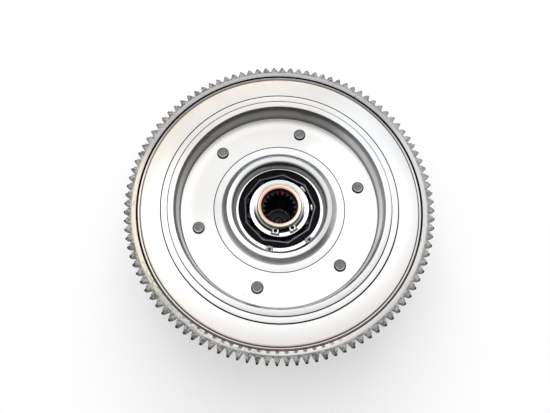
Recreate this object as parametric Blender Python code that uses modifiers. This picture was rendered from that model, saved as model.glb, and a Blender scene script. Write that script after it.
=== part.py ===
"""Clutch-type flywheel: a starter-ring disc riveted to a multi-plate clutch drum, with its ball-bearing hub.

Metres, +Z up.  The disc faces up and the drum's fingers stand on z = 0; every turned piece shares the Z axis.
Depths are measured down from the disc's front face.
"""
import math

import bmesh
import bpy
from mathutils import Matrix

MM = 0.001
TURN = 2 * math.pi

# ---- driving dimensions (millimetres; depths run down from the front face) ----
HEIGHT = 80.0            # front face above the ground the drum stands on
GAP = 0.3                # clearance kept between pieces that touch

GEAR_TEETH = 106
GEAR_PITCH_R = 134.62    # ten diametral pitch
GEAR_TIP_R = 137.16
GEAR_ROOT_R = 131.4
GEAR_BORE_R = 125.6
GEAR_WIDTH = 11.0
GEAR_PHASE = 0.163       # angle of the first tooth, in tooth pitches from +X
TOOTH_TIP_HALF = 1.05
TOOTH_ROOT_HALF = 2.9

LIP_R = 124.0            # front face's outer edge, inside the visible gap
LIP_DEPTH = 3.0
SHOULDER_R = 129.0       # the ring gear seats on this shoulder
FLANGE_BACK = 15.0
RECESS_EDGE_R = 93.4
RECESS_CHAMFER_R = 91.7
RECESS_CHAMFER_DEPTH = 3.5
RECESS_CORNER_R = 90.6
RECESS_CORNER_DEPTH = 17.5
RECESS_FLOOR_R = 90.2
FLOOR_DEPTH = 18.3
FLOOR_BACK = 23.3
CUP_R = 95.5

RIVET_COUNT = 6
RIVET_CIRCLE_R = 75.4
RIVET_FIRST_ANGLE = 15.0
RIVET_R = 4.0
RIVET_HEAD_R = 5.6
RIVET_HEAD_HEIGHT = 0.9
RIVET_TAIL_HEIGHT = 2.0

BOSS_TOP_DEPTH = 13.0
BOSS_TOP_R = 47.8
BOSS_BASE_R = 52.2
SPIGOT_R = 59.7
CARRIER_FLANGE_R = 83.0
CARRIER_FLANGE_BACK = 28.1
CARRIER_NOSE_R = 50.0
CARRIER_NOSE_DEPTH = 41.5
CARRIER_STOP_R = 39.0
POCKET_MOUTH_R = 43.8

BEARING_OUTER_R = 42.5
BEARING_BORE_R = 20.6
BEARING_TOP = 19.2
BEARING_WIDTH = 19.0
BALL_COUNT = 9
BALL_FIRST_ANGLE = 3.5
BALL_R = 6.35
BALL_CIRCLE_R = 32.5
OUTER_LAND_R = 37.5
INNER_LAND_R = 27.3
RACE_CHAMFER = 1.2
CAGE_CORNER_R = 32.4     # the cage's bore has a corner at each ball
CAGE_OUTER_R = 37.1
CAGE_REACH_UP = 7.6      # from the balls' middle to the cage's closed face
CAGE_REACH_DOWN = 3.8    # and to its open side, where the pockets snap over the balls

CIRCLIP_TOP = 17.1
CIRCLIP_BOTTOM = 18.9
BORE_CLIP_GROOVE_R = 44.4
BORE_CLIP_OUTER_R = 44.1
BORE_CLIP_NARROW_R = 41.2    # inner edge beside the lugs
BORE_CLIP_WIDE_R = 38.5      # inner edge opposite the lugs
BORE_CLIP_LUG_R = 37.3
BORE_CLIP_LUG_ANGLES = (-49.0, 257.0)
BORE_CLIP_LUG_HALF = 4.6
BORE_CLIP_HOLE_R = 1.25
BORE_CLIP_HOLE_CIRCLE_R = 40.3
SHAFT_CLIP_GROOVE_R = 18.9
SHAFT_CLIP_NARROW_R = 22.4   # outer edge beside the lugs
SHAFT_CLIP_WIDE_R = 23.6     # outer edge opposite the lugs
SHAFT_CLIP_LUG_R = 25.2
SHAFT_CLIP_LUG_ANGLES = (-59.0, 260.6)
SHAFT_CLIP_LUG_HALF = 7.4
SHAFT_CLIP_HOLE_R = 1.4
SHAFT_CLIP_HOLE_CIRCLE_R = 22.6

HUB_R = 20.3
HUB_TOP = 12.5
HUB_COUNTERBORE_R = 15.9
HUB_COUNTERBORE_DEPTH = 19.0
SPLINE_COUNT = 19
SPLINE_PHASE = 0.62      # angle of the first space, in tooth pitches from +X
SPLINE_SPACE_HALF = 1.2
SPLINE_MINOR_R = 12.6
SPLINE_MAJOR_R = 15.2
HUB_COLLAR_R = 26.5      # shoulder behind the bearing's inner race
HUB_SLEEVE_R = 24.0
HUB_SLEEVE_END = 62.5
HUB_FLANGE_TOP = 42.0
HUB_FLANGE_BACK = 46.0
HUB_FLANGE_R = 77.5
HUB_DRUM_R = 54.0
HUB_DRUM_INNER_R = 48.0
HUB_FINGER_ROOT = 69.6
HUB_FINGER_END = 79.0
HUB_WEB_BACK = 49.0

DRUM_OUTER_R = 86.5
DRUM_INNER_R = 82.0
DRUM_BASE_INNER_R = 55.0
DRUM_BASE_TOP = 28.4
DRUM_BASE_BACK = 31.9
SLOT_COUNT = 12
SLOT_WIDTH = 13.0
SLOT_TOP = 41.0

SPROCKET_TEETH = 46
SPROCKET_TIP_R = 96.6
SPROCKET_ROOT_R = 89.6
SPROCKET_TOP = 23.6
SPROCKET_BACK = 38.0
SPROCKET_ROW_WIDTH = 4.4
SPROCKET_ROOT_HALF = 4.2
SPROCKET_TIP_HALF = 1.1

PLATES_TOP = HUB_FLANGE_BACK + GAP
FRICTION_COUNT = 5
FRICTION_THICKNESS = 3.0
FRICTION_INNER_R = 57.0
FRICTION_OUTER_R = 78.5
FRICTION_TAB_R = 85.5
STEEL_THICKNESS = 1.6
STEEL_OUTER_R = 77.5
HUB_GROOVE_COUNT = 12
HUB_GROOVE_WIDTH = 10.0
HUB_GROOVE_R = 51.2

PRESSURE_TOP = 70.4
PRESSURE_BACK = 74.0
PRESSURE_R = 77.5
PRESSURE_HUB_R = 30.0
PRESSURE_LIP_R = 21.5
PRESSURE_HUB_TOP = 66.0
PRESSURE_HUB_BACK = 75.6
PRESSURE_WINDOW_COUNT = 6
FINGER_HALF_ANGLE = 16.0     # degrees each hub finger spans either side of its middle
WINDOW_MARGIN = 1.5          # degrees of extra window at each side of a finger

SPRING_INNER_R = 54.6
SPRING_OUTER_R = 73.0
SPRING_THICKNESS = 1.2
SPRING_RISE = 1.0
RETAINER_TOP = 77.0
RETAINER_BOTTOM = 78.2
RETAINER_GROOVE_R = 52.6
RETAINER_OUTER_R = 60.0
RETAINER_START = 52.0        # degrees
RETAINER_MOUTH = 0.16        # radians left open

RELEASE_R = 23.7
RELEASE_TOP = 67.1
RELEASE_BACK = 71.1
SCREW_R = 4.0
SCREW_TOP = 64.6
SCREW_END = 77.6
NUT_R = 8.0
NUT_BACK = 75.2
RELEASE_CLIP_THICKNESS = 1.5
RELEASE_CLIP_WIDTH = 3.0
RELEASE_CLIP_BITE = 1.2      # depth that the clip sits in its groove
RELEASE_CLIP_START = -60.0   # degrees
RELEASE_CLIP_MOUTH = 0.9     # radians left open

LARGE_STEPS = 48             # facets round the disc, drum and ring gear
MEDIUM_STEPS = 36
SMALL_STEPS = 24
PIN_STEPS = 12

parts = bpy.data.collections.new("flywheel")
cutters = bpy.data.collections.new("cutters")


def clear_scene():
    for old in list(bpy.data.objects):
        bpy.data.objects.remove(old, do_unlink=True)
    bpy.context.scene.collection.children.link(parts)
    bpy.context.scene.collection.children.link(cutters)


def material(name, colour, roughness, metallic=1.0):
    """Principled material in one plain colour."""
    made = bpy.data.materials.get(name)
    if made is None:
        made = bpy.data.materials.new(name)
        made.use_nodes = True
        shader = made.node_tree.nodes["Principled BSDF"]
        shader.inputs["Base Color"].default_value = (*colour, 1.0)
        shader.inputs["Roughness"].default_value = roughness
        shader.inputs["Metallic"].default_value = metallic
    return made


def height(depth):
    """Height above the ground, in metres, of a depth below the front face."""
    return (HEIGHT - depth) * MM


def polar(radius, angle):
    return (radius * math.cos(angle), radius * math.sin(angle))


def add_object(name, mesh, surface=None):
    """Puts a mesh in the parts collection, or in the cutters when it has no surface."""
    made = bpy.data.objects.new(name, mesh)
    if surface is None:
        cutters.objects.link(made)
        made.hide_render = True
        made.display_type = "WIRE"
    else:
        parts.objects.link(made)
        mesh.materials.append(surface)
        mesh.shade_smooth()
        mesh.set_sharp_from_angle(angle=math.radians(35))
    return made


def turned(name, profile, steps, surface=None):
    """Solid of revolution from (radius, depth) points that run down the outer side first."""
    mesh = bpy.data.meshes.new(name)
    points = [(radius * MM, 0.0, height(depth)) for radius, depth in profile]
    edges = [(i, (i + 1) % len(points)) for i in range(len(points))]
    mesh.from_pydata(points, edges, [])
    made = add_object(name, mesh, surface)
    screw = made.modifiers.new("turn", "SCREW")
    screw.axis = "Z"
    screw.angle = TURN
    screw.steps = steps
    screw.render_steps = steps
    screw.use_merge_vertices = True
    screw.merge_threshold = 0.00001
    screw.use_smooth_shade = True
    return made


def plate(name, outlines, top, bottom, surface=None):
    """Flat piece from closed (x, y) outlines, the first outside and the rest holes."""
    curve = bpy.data.curves.new(name + "_outline", "CURVE")
    curve.dimensions = "2D"
    curve.fill_mode = "BOTH"
    curve.extrude = (bottom - top) / 2 * MM
    for outline in outlines:
        spline = curve.splines.new("POLY")
        spline.points.add(len(outline) - 1)
        for point, (x, y) in zip(spline.points, outline):
            point.co = (x * MM, y * MM, 0.0, 1.0)
        spline.use_cyclic_u = True
    guide = bpy.data.objects.new(name + "_outline", curve)
    cutters.objects.link(guide)
    guide.location.z = height((top + bottom) / 2)
    bpy.context.view_layer.update()
    evaluated = guide.evaluated_get(bpy.context.evaluated_depsgraph_get())
    mesh = bpy.data.meshes.new_from_object(evaluated)
    mesh.transform(guide.matrix_world)
    mesh.name = name
    bpy.data.objects.remove(guide, do_unlink=True)
    shape = bmesh.new()
    shape.from_mesh(mesh)
    bmesh.ops.remove_doubles(shape, verts=shape.verts, dist=0.000001)
    bmesh.ops.recalc_face_normals(shape, faces=shape.faces)
    shape.to_mesh(mesh)
    shape.free()
    mesh.materials.clear()
    return add_object(name, mesh, surface)


def joined_cutter(name, shapes):
    """One cutter mesh from a function that adds several solids to a bmesh."""
    mesh = bpy.data.meshes.new(name)
    shape = bmesh.new()
    for add_shape in shapes:
        add_shape(shape)
    shape.to_mesh(mesh)
    shape.free()
    return add_object(name, mesh)


def box_at(radius, angle, size, depth):
    """Adds a box whose middle lies at a radius and angle, turned to face the axis."""
    def add(shape):
        place = Matrix.Rotation(angle, 4, "Z") @ Matrix.Translation((radius * MM, 0.0, height(depth)))
        scale = Matrix.Diagonal((size[0] * MM, size[1] * MM, size[2] * MM, 1.0))
        bmesh.ops.create_cube(shape, size=1.0, matrix=place @ scale)
    return add


def pin_at(radius, angle, pin_r, top, bottom):
    """Adds an upright cylinder at a radius and angle."""
    def add(shape):
        x, y = polar(radius * MM, angle)
        place = Matrix.Translation((x, y, height((top + bottom) / 2)))
        bmesh.ops.create_cone(shape, cap_ends=True, segments=PIN_STEPS, radius1=pin_r * MM,
                              radius2=pin_r * MM, depth=(bottom - top) * MM, matrix=place)
    return add


def radial_pin(angle, pin_r, length, radius, depth):
    """Adds a cylinder that lies along a radius."""
    def add(shape):
        place = Matrix.Rotation(angle, 4, "Z") @ Matrix.Translation((radius * MM, 0.0, height(depth)))
        lay = Matrix.Rotation(math.pi / 2, 4, "Y")
        bmesh.ops.create_cone(shape, cap_ends=True, segments=PIN_STEPS, radius1=pin_r * MM,
                              radius2=pin_r * MM, depth=length * MM, matrix=place @ lay)
    return add


def cut(target, cutter):
    step = target.modifiers.new("cut_" + cutter.name, "BOOLEAN")
    step.operation = "DIFFERENCE"
    step.solver = "EXACT"
    step.object = cutter


def circle(radius, count, start=0.0):
    return [polar(radius, start + TURN * i / count) for i in range(count)]


def arc(radius, start, end, count):
    return [polar(radius, start + (end - start) * i / count) for i in range(count + 1)]


def around(count, first_degrees=0.0):
    """Evenly spaced angles."""
    return [math.radians(first_degrees) + TURN * i / count for i in range(count)]


def toothed_outline(count, root_r, tip_r, root_half, tip_half, phase=0.0):
    """Outline of straight-sided teeth; the halves are half widths along the circle."""
    corners = ((root_r, -root_half), (tip_r, -tip_half), (tip_r, tip_half), (root_r, root_half))
    points = []
    for i in range(count):
        middle = TURN * (i + phase) / count
        points += [polar(radius, middle + offset / radius) for radius, offset in corners]
    return points


# ---- surfaces ----
GEAR_STEEL = material("gear_steel", (0.30, 0.28, 0.26), 0.5)
GROUND_STEEL = material("ground_steel", (0.62, 0.58, 0.55), 0.32)
CARRIER_STEEL = material("carrier_steel", (0.55, 0.54, 0.53), 0.4)
RIVET_STEEL = material("rivet_steel", (0.26, 0.25, 0.25), 0.55)
BEARING_STEEL = material("bearing_steel", (0.66, 0.66, 0.67), 0.22)
CAGE_PLASTIC = material("cage_plastic", (0.012, 0.013, 0.018), 0.3, 0.0)
SPRING_STEEL = material("spring_steel", (0.36, 0.36, 0.37), 0.38)
HUB_STEEL = material("hub_steel", (0.60, 0.50, 0.42), 0.36)
DRUM_ALUMINIUM = material("drum_aluminium", (0.66, 0.66, 0.67), 0.42)
SPROCKET_STEEL = material("sprocket_steel", (0.34, 0.34, 0.35), 0.45)
FRICTION_LINING = material("friction_lining", (0.16, 0.11, 0.07), 0.85, 0.0)
PLATE_STEEL = material("plate_steel", (0.50, 0.50, 0.51), 0.35)
FASTENER_STEEL = material("fastener_steel", (0.42, 0.42, 0.43), 0.4)


# ---- disc and drum ----
def build_starter_ring_gear():
    teeth = toothed_outline(GEAR_TEETH, GEAR_ROOT_R, GEAR_TIP_R, TOOTH_ROOT_HALF, TOOTH_TIP_HALF, GEAR_PHASE)
    plate("starter_ring_gear", [teeth, circle(GEAR_BORE_R, LARGE_STEPS)], 0.0, GEAR_WIDTH, GEAR_STEEL)


def rivet_holes(name, hole_r, top, bottom):
    return joined_cutter(name, [pin_at(RIVET_CIRCLE_R, angle, hole_r, top, bottom)
                                for angle in around(RIVET_COUNT, RIVET_FIRST_ANGLE)])


def build_flywheel_disc():
    seat_r = GEAR_BORE_R - GAP
    profile = [
        (LIP_R, 0.0), (LIP_R, LIP_DEPTH), (seat_r, LIP_DEPTH), (seat_r, GEAR_WIDTH + GAP),
        (SHOULDER_R, GEAR_WIDTH + GAP), (SHOULDER_R, FLANGE_BACK), (CUP_R, FLANGE_BACK), (CUP_R, FLOOR_BACK),
        (SPIGOT_R + GAP, FLOOR_BACK), (SPIGOT_R + GAP, FLOOR_DEPTH), (RECESS_FLOOR_R, FLOOR_DEPTH),
        (RECESS_CORNER_R, RECESS_CORNER_DEPTH), (RECESS_CHAMFER_R, RECESS_CHAMFER_DEPTH),
        (RECESS_EDGE_R, 0.0),
    ]
    disc = turned("flywheel_disc", profile, LARGE_STEPS, GROUND_STEEL)
    cut(disc, rivet_holes("disc_rivet_holes", RIVET_R + GAP, FLOOR_DEPTH - 2, FLOOR_BACK + 2))


def build_bearing_carrier():
    pocket_r = BEARING_OUTER_R + GAP
    stop = BEARING_TOP + BEARING_WIDTH + GAP
    profile = [
        (BOSS_TOP_R, BOSS_TOP_DEPTH), (BOSS_BASE_R, FLOOR_DEPTH), (SPIGOT_R, FLOOR_DEPTH),
        (SPIGOT_R, FLOOR_BACK + GAP), (CARRIER_FLANGE_R, FLOOR_BACK + GAP),
        (CARRIER_FLANGE_R, CARRIER_FLANGE_BACK), (CARRIER_NOSE_R, CARRIER_FLANGE_BACK),
        (CARRIER_NOSE_R, CARRIER_NOSE_DEPTH), (CARRIER_STOP_R, CARRIER_NOSE_DEPTH), (CARRIER_STOP_R, stop),
        (pocket_r, stop), (pocket_r, CIRCLIP_BOTTOM + GAP), (BORE_CLIP_GROOVE_R, CIRCLIP_BOTTOM + GAP),
        (BORE_CLIP_GROOVE_R, CIRCLIP_TOP - GAP), (pocket_r, CIRCLIP_TOP - GAP),
        (pocket_r, BOSS_TOP_DEPTH + 1.0), (POCKET_MOUTH_R, BOSS_TOP_DEPTH),
    ]
    carrier = turned("bearing_carrier", profile, MEDIUM_STEPS, CARRIER_STEEL)
    cut(carrier, rivet_holes("carrier_rivet_holes", RIVET_R + GAP, FLOOR_BACK - 2, CARRIER_FLANGE_BACK + 2))


def build_rivets():
    head_bottom = FLOOR_DEPTH - GAP
    tail_top = DRUM_BASE_BACK + GAP
    profile = [
        (0.0, head_bottom - RIVET_HEAD_HEIGHT), (RIVET_HEAD_R, head_bottom - RIVET_HEAD_HEIGHT),
        (RIVET_HEAD_R, head_bottom), (RIVET_R, head_bottom), (RIVET_R, tail_top), (RIVET_HEAD_R, tail_top),
        (RIVET_HEAD_R, tail_top + RIVET_TAIL_HEIGHT), (0.0, tail_top + RIVET_TAIL_HEIGHT),
    ]
    for number, angle in enumerate(around(RIVET_COUNT, RIVET_FIRST_ANGLE), 1):
        rivet = turned(f"rivet_{number}", profile, PIN_STEPS, RIVET_STEEL)
        rivet.location.x, rivet.location.y = polar(RIVET_CIRCLE_R * MM, angle)


def build_clutch_drum():
    profile = [
        (DRUM_OUTER_R, DRUM_BASE_TOP), (DRUM_OUTER_R, HEIGHT), (DRUM_INNER_R, HEIGHT),
        (DRUM_INNER_R, DRUM_BASE_BACK), (DRUM_BASE_INNER_R, DRUM_BASE_BACK),
        (DRUM_BASE_INNER_R, DRUM_BASE_TOP),
    ]
    drum = turned("clutch_drum", profile, LARGE_STEPS, DRUM_ALUMINIUM)
    cut(drum, rivet_holes("drum_rivet_holes", RIVET_R + GAP, DRUM_BASE_TOP - 2, DRUM_BASE_BACK + 1))
    wall_middle = (DRUM_OUTER_R + DRUM_INNER_R) / 2
    slot_length = HEIGHT - SLOT_TOP
    size = (12.0, SLOT_WIDTH, slot_length + 2)
    slots = [box_at(wall_middle, angle, size, SLOT_TOP + slot_length / 2 + 1)
             for angle in around(SLOT_COUNT)]
    cut(drum, joined_cutter("drum_slots", slots))


def build_primary_sprocket():
    teeth = toothed_outline(SPROCKET_TEETH, SPROCKET_ROOT_R, SPROCKET_TIP_R, SPROCKET_ROOT_HALF,
                            SPROCKET_TIP_HALF)
    sprocket = plate("primary_sprocket", [teeth, circle(DRUM_OUTER_R + GAP, LARGE_STEPS)],
                     SPROCKET_TOP, SPROCKET_BACK, SPROCKET_STEEL)
    groove_top = SPROCKET_TOP + SPROCKET_ROW_WIDTH
    groove_bottom = SPROCKET_BACK - SPROCKET_ROW_WIDTH
    groove = turned("sprocket_groove", [
        (SPROCKET_TIP_R + 3, groove_top), (SPROCKET_TIP_R + 3, groove_bottom),
        (SPROCKET_ROOT_R - 0.8, groove_bottom), (SPROCKET_ROOT_R - 0.8, groove_top),
    ], LARGE_STEPS)
    cut(sprocket, groove)


# ---- ball bearing and circlips ----
BEARING_MIDDLE = BEARING_TOP + BEARING_WIDTH / 2
BEARING_BACK = BEARING_TOP + BEARING_WIDTH


def raceway(land_r, side):
    """Groove points from bottom to top; side is +1 on the outer race and -1 on the inner race."""
    groove_r = BALL_R + GAP
    reach = math.asin(math.sqrt(1 - ((land_r - BALL_CIRCLE_R) / groove_r) ** 2))
    points = []
    for i in range(5):
        turn = reach * (1 - i / 2)
        radius = BALL_CIRCLE_R + side * groove_r * math.cos(turn)
        points.append((radius, BEARING_MIDDLE + groove_r * math.sin(turn)))
    return points


def build_bearing_races():
    outer = [
        (BEARING_OUTER_R - RACE_CHAMFER, BEARING_TOP), (BEARING_OUTER_R, BEARING_TOP + RACE_CHAMFER),
        (BEARING_OUTER_R, BEARING_BACK), (OUTER_LAND_R, BEARING_BACK),
        *raceway(OUTER_LAND_R, 1), (OUTER_LAND_R, BEARING_TOP),
    ]
    turned("bearing_outer_race", outer, MEDIUM_STEPS, BEARING_STEEL)
    inner = [
        (INNER_LAND_R, BEARING_TOP), *reversed(raceway(INNER_LAND_R, -1)), (INNER_LAND_R, BEARING_BACK),
        (BEARING_BORE_R, BEARING_BACK), (BEARING_BORE_R, BEARING_TOP + RACE_CHAMFER),
        (BEARING_BORE_R + RACE_CHAMFER, BEARING_TOP),
    ]
    turned("bearing_inner_race", inner, MEDIUM_STEPS, BEARING_STEEL)


def build_bearing_cage():
    """Moulded snap cage: a ring with a nine-sided bore, whose pockets open away from the disc's face."""
    bore = circle(CAGE_CORNER_R, BALL_COUNT, math.radians(BALL_FIRST_ANGLE))
    cage = plate("bearing_cage", [circle(CAGE_OUTER_R, MEDIUM_STEPS), bore],
                 BEARING_MIDDLE - CAGE_REACH_UP, BEARING_MIDDLE + CAGE_REACH_DOWN, CAGE_PLASTIC)
    pockets = [radial_pin(angle, BALL_R + GAP, 2 * BALL_R, BALL_CIRCLE_R, BEARING_MIDDLE)
               for angle in around(BALL_COUNT, BALL_FIRST_ANGLE)]
    cut(cage, joined_cutter("cage_pockets", pockets))


def build_balls():
    for number, angle in enumerate(around(BALL_COUNT, BALL_FIRST_ANGLE), 1):
        mesh = bpy.data.meshes.new(f"ball_{number}")
        shape = bmesh.new()
        bmesh.ops.create_icosphere(shape, subdivisions=2, radius=BALL_R * MM)
        shape.to_mesh(mesh)
        shape.free()
        ball = add_object(f"ball_{number}", mesh, BEARING_STEEL)
        ball.location = (*polar(BALL_CIRCLE_R * MM, angle), height(BEARING_MIDDLE))


def circlip(name, plain_r, narrow_r, wide_r, lug_r, lug_angles, lug_half, hole_r, hole_circle):
    """Open ring with a drilled lug at each end.

    One edge is round.  The other, where the lugs are, runs from narrow_r beside them to wide_r opposite.
    """
    start, end = [math.radians(degrees) for degrees in lug_angles]
    middle = (start + end) / 2
    half = math.radians(lug_half)
    root = half * 1.25
    first_lug = [polar(narrow_r, start - half), polar(lug_r, start - half), polar(lug_r, start + half)]
    body = []
    for i in range(SMALL_STEPS + 1):
        angle = start + root + (end - start - 2 * root) * i / SMALL_STEPS
        width = (1 + math.cos(angle - middle)) / 2
        body.append(polar(narrow_r + (wide_r - narrow_r) * width, angle))
    last_lug = [polar(lug_r, end - half), polar(lug_r, end + half), polar(narrow_r, end + half)]
    back = arc(plain_r, end + half, start - half, SMALL_STEPS)
    holes = []
    for angle in (start, end):
        x, y = polar(hole_circle, angle)
        holes.append([(x + dx, y + dy) for dx, dy in circle(hole_r, 8)])
    plate(name, [first_lug + body + last_lug + back, *holes], CIRCLIP_TOP, CIRCLIP_BOTTOM, SPRING_STEEL)


def build_circlips():
    circlip("bore_circlip", BORE_CLIP_OUTER_R, BORE_CLIP_NARROW_R, BORE_CLIP_WIDE_R, BORE_CLIP_LUG_R,
            BORE_CLIP_LUG_ANGLES, BORE_CLIP_LUG_HALF, BORE_CLIP_HOLE_R, BORE_CLIP_HOLE_CIRCLE_R)
    circlip("shaft_circlip", SHAFT_CLIP_GROOVE_R + GAP, SHAFT_CLIP_NARROW_R, SHAFT_CLIP_WIDE_R,
            SHAFT_CLIP_LUG_R, SHAFT_CLIP_LUG_ANGLES, SHAFT_CLIP_LUG_HALF, SHAFT_CLIP_HOLE_R,
            SHAFT_CLIP_HOLE_CIRCLE_R)


# ---- hub and plates ----
def hub_grooves(name, radius, width, top, bottom):
    reach = 8.0
    size = (reach, width, bottom - top)
    return joined_cutter(name, [box_at(radius + reach / 2, angle, size, (top + bottom) / 2)
                                for angle in around(HUB_GROOVE_COUNT)])


def sector_outline(inner_r, outer_r, middle, half):
    return arc(outer_r, middle - half, middle + half, 4) + arc(inner_r, middle + half, middle - half, 4)


def finger_middles():
    return around(PRESSURE_WINDOW_COUNT, 15.0)


def build_splined_hub():
    profile = [
        (HUB_R - 0.8, HUB_TOP), (HUB_R, HUB_TOP + 0.8), (HUB_R, CIRCLIP_TOP - GAP),
        (SHAFT_CLIP_GROOVE_R, CIRCLIP_TOP - GAP), (SHAFT_CLIP_GROOVE_R, CIRCLIP_BOTTOM + GAP),
        (HUB_R, CIRCLIP_BOTTOM + GAP), (HUB_R, BEARING_BACK + GAP), (HUB_COLLAR_R, BEARING_BACK + GAP),
        (HUB_COLLAR_R, HUB_FLANGE_TOP), (HUB_FLANGE_R, HUB_FLANGE_TOP), (HUB_FLANGE_R, HUB_FLANGE_BACK),
        (HUB_DRUM_R, HUB_FLANGE_BACK), (HUB_DRUM_R, HUB_FINGER_END),
        (HUB_DRUM_INNER_R, HUB_FINGER_END), (HUB_DRUM_INNER_R, HUB_WEB_BACK), (HUB_SLEEVE_R, HUB_WEB_BACK),
        (HUB_SLEEVE_R, HUB_SLEEVE_END), (SPLINE_MINOR_R, HUB_SLEEVE_END),
        (SPLINE_MINOR_R, HUB_COUNTERBORE_DEPTH), (HUB_COUNTERBORE_R, HUB_COUNTERBORE_DEPTH),
        (HUB_COUNTERBORE_R, HUB_TOP + 1.5), (HUB_COUNTERBORE_R + 1.5, HUB_TOP),
    ]
    hub = turned("splined_hub", profile, MEDIUM_STEPS, HUB_STEEL)
    spaces = toothed_outline(SPLINE_COUNT, SPLINE_MINOR_R - 0.6, SPLINE_MAJOR_R, SPLINE_SPACE_HALF,
                             SPLINE_SPACE_HALF, SPLINE_PHASE)
    cut(hub, plate("bore_splines", [spaces], HUB_COUNTERBORE_DEPTH - 1, HUB_SLEEVE_END + 1))
    cut(hub, hub_grooves("hub_grooves", HUB_GROOVE_R, HUB_GROOVE_WIDTH, PLATES_TOP + FRICTION_THICKNESS,
                         HUB_FINGER_END + 1))
    half_pitch = math.pi / PRESSURE_WINDOW_COUNT
    for number, middle in enumerate(finger_middles(), 1):
        gap = sector_outline(HUB_DRUM_INNER_R - 3, HUB_DRUM_R + 3, middle + half_pitch,
                             half_pitch - math.radians(FINGER_HALF_ANGLE))
        cut(hub, plate(f"finger_gap_{number}", [gap], HUB_FINGER_ROOT, HUB_FINGER_END + 2))
    retainer_groove = turned("retainer_groove", [
        (HUB_DRUM_R + 3, RETAINER_TOP - GAP), (HUB_DRUM_R + 3, RETAINER_BOTTOM + GAP),
        (RETAINER_GROOVE_R, RETAINER_BOTTOM + GAP), (RETAINER_GROOVE_R, RETAINER_TOP - GAP)], MEDIUM_STEPS)
    cut(hub, retainer_groove)


def friction_outline():
    half = (SLOT_WIDTH / 2 - GAP)
    points = []
    for angle in around(SLOT_COUNT):
        root = math.asin(half / FRICTION_OUTER_R)
        tip = math.asin(half / FRICTION_TAB_R)
        points += [polar(FRICTION_OUTER_R, angle - root), polar(FRICTION_TAB_R, angle - tip),
                   polar(FRICTION_TAB_R, angle + tip), polar(FRICTION_OUTER_R, angle + root)]
    return points


def steel_inner_outline():
    half = HUB_GROOVE_WIDTH / 2 - GAP
    land = HUB_DRUM_R + GAP
    tooth = HUB_GROOVE_R + GAP
    points = []
    for angle in around(HUB_GROOVE_COUNT):
        root = math.asin(half / land)
        tip = math.asin(half / tooth)
        points += [polar(land, angle - root), polar(tooth, angle - tip), polar(tooth, angle + tip),
                   polar(land, angle + root), polar(land, angle + math.pi / HUB_GROOVE_COUNT)]
    return points


def build_plates():
    top = PLATES_TOP
    for number in range(1, FRICTION_COUNT + 1):
        plate(f"friction_plate_{number}", [friction_outline(), circle(FRICTION_INNER_R, SMALL_STEPS)],
              top, top + FRICTION_THICKNESS, FRICTION_LINING)
        top += FRICTION_THICKNESS + GAP
        if number < FRICTION_COUNT:
            plate(f"steel_plate_{number}", [circle(STEEL_OUTER_R, SMALL_STEPS), steel_inner_outline()],
                  top, top + STEEL_THICKNESS, PLATE_STEEL)
            top += STEEL_THICKNESS + GAP


# ---- pressure plate and release ----
def build_pressure_plate():
    bore_r = RELEASE_R + GAP
    groove_top = RELEASE_BACK
    groove_bottom = groove_top + RELEASE_CLIP_THICKNESS + 2 * GAP
    groove_r = bore_r + RELEASE_CLIP_BITE + GAP
    profile = [
        (PRESSURE_HUB_R, PRESSURE_HUB_TOP), (PRESSURE_HUB_R, PRESSURE_TOP), (PRESSURE_R, PRESSURE_TOP),
        (PRESSURE_R, PRESSURE_BACK), (PRESSURE_HUB_R, PRESSURE_BACK), (PRESSURE_HUB_R, PRESSURE_HUB_BACK),
        (bore_r, PRESSURE_HUB_BACK), (bore_r, groove_bottom), (groove_r, groove_bottom),
        (groove_r, groove_top), (bore_r, groove_top), (bore_r, RELEASE_TOP - GAP),
        (PRESSURE_LIP_R, RELEASE_TOP - GAP), (PRESSURE_LIP_R, PRESSURE_HUB_TOP),
    ]
    pressure = turned("pressure_plate", profile, MEDIUM_STEPS, DRUM_ALUMINIUM)
    half = math.radians(FINGER_HALF_ANGLE + WINDOW_MARGIN)
    for number, middle in enumerate(finger_middles(), 1):
        window = plate(f"pressure_window_{number}",
                       [sector_outline(HUB_DRUM_INNER_R - 0.6, HUB_DRUM_R + 0.6, middle, half)],
                       PRESSURE_TOP - 1, PRESSURE_BACK + 1)
        cut(pressure, window)


def build_spring_and_retainer():
    outer_top = PRESSURE_BACK + GAP
    inner_top = outer_top + SPRING_RISE
    turned("diaphragm_spring", [
        (SPRING_OUTER_R, outer_top), (SPRING_OUTER_R, outer_top + SPRING_THICKNESS),
        (SPRING_INNER_R, inner_top + SPRING_THICKNESS), (SPRING_INNER_R, inner_top)], MEDIUM_STEPS,
        SPRING_STEEL)
    start = math.radians(RETAINER_START)
    end = start + TURN - RETAINER_MOUTH
    outside = arc(RETAINER_OUTER_R, start, end, MEDIUM_STEPS)
    inside = arc(RETAINER_GROOVE_R + GAP, end, start, MEDIUM_STEPS)
    plate("spring_retaining_ring", [outside + inside], RETAINER_TOP, RETAINER_BOTTOM, SPRING_STEEL)


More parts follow.
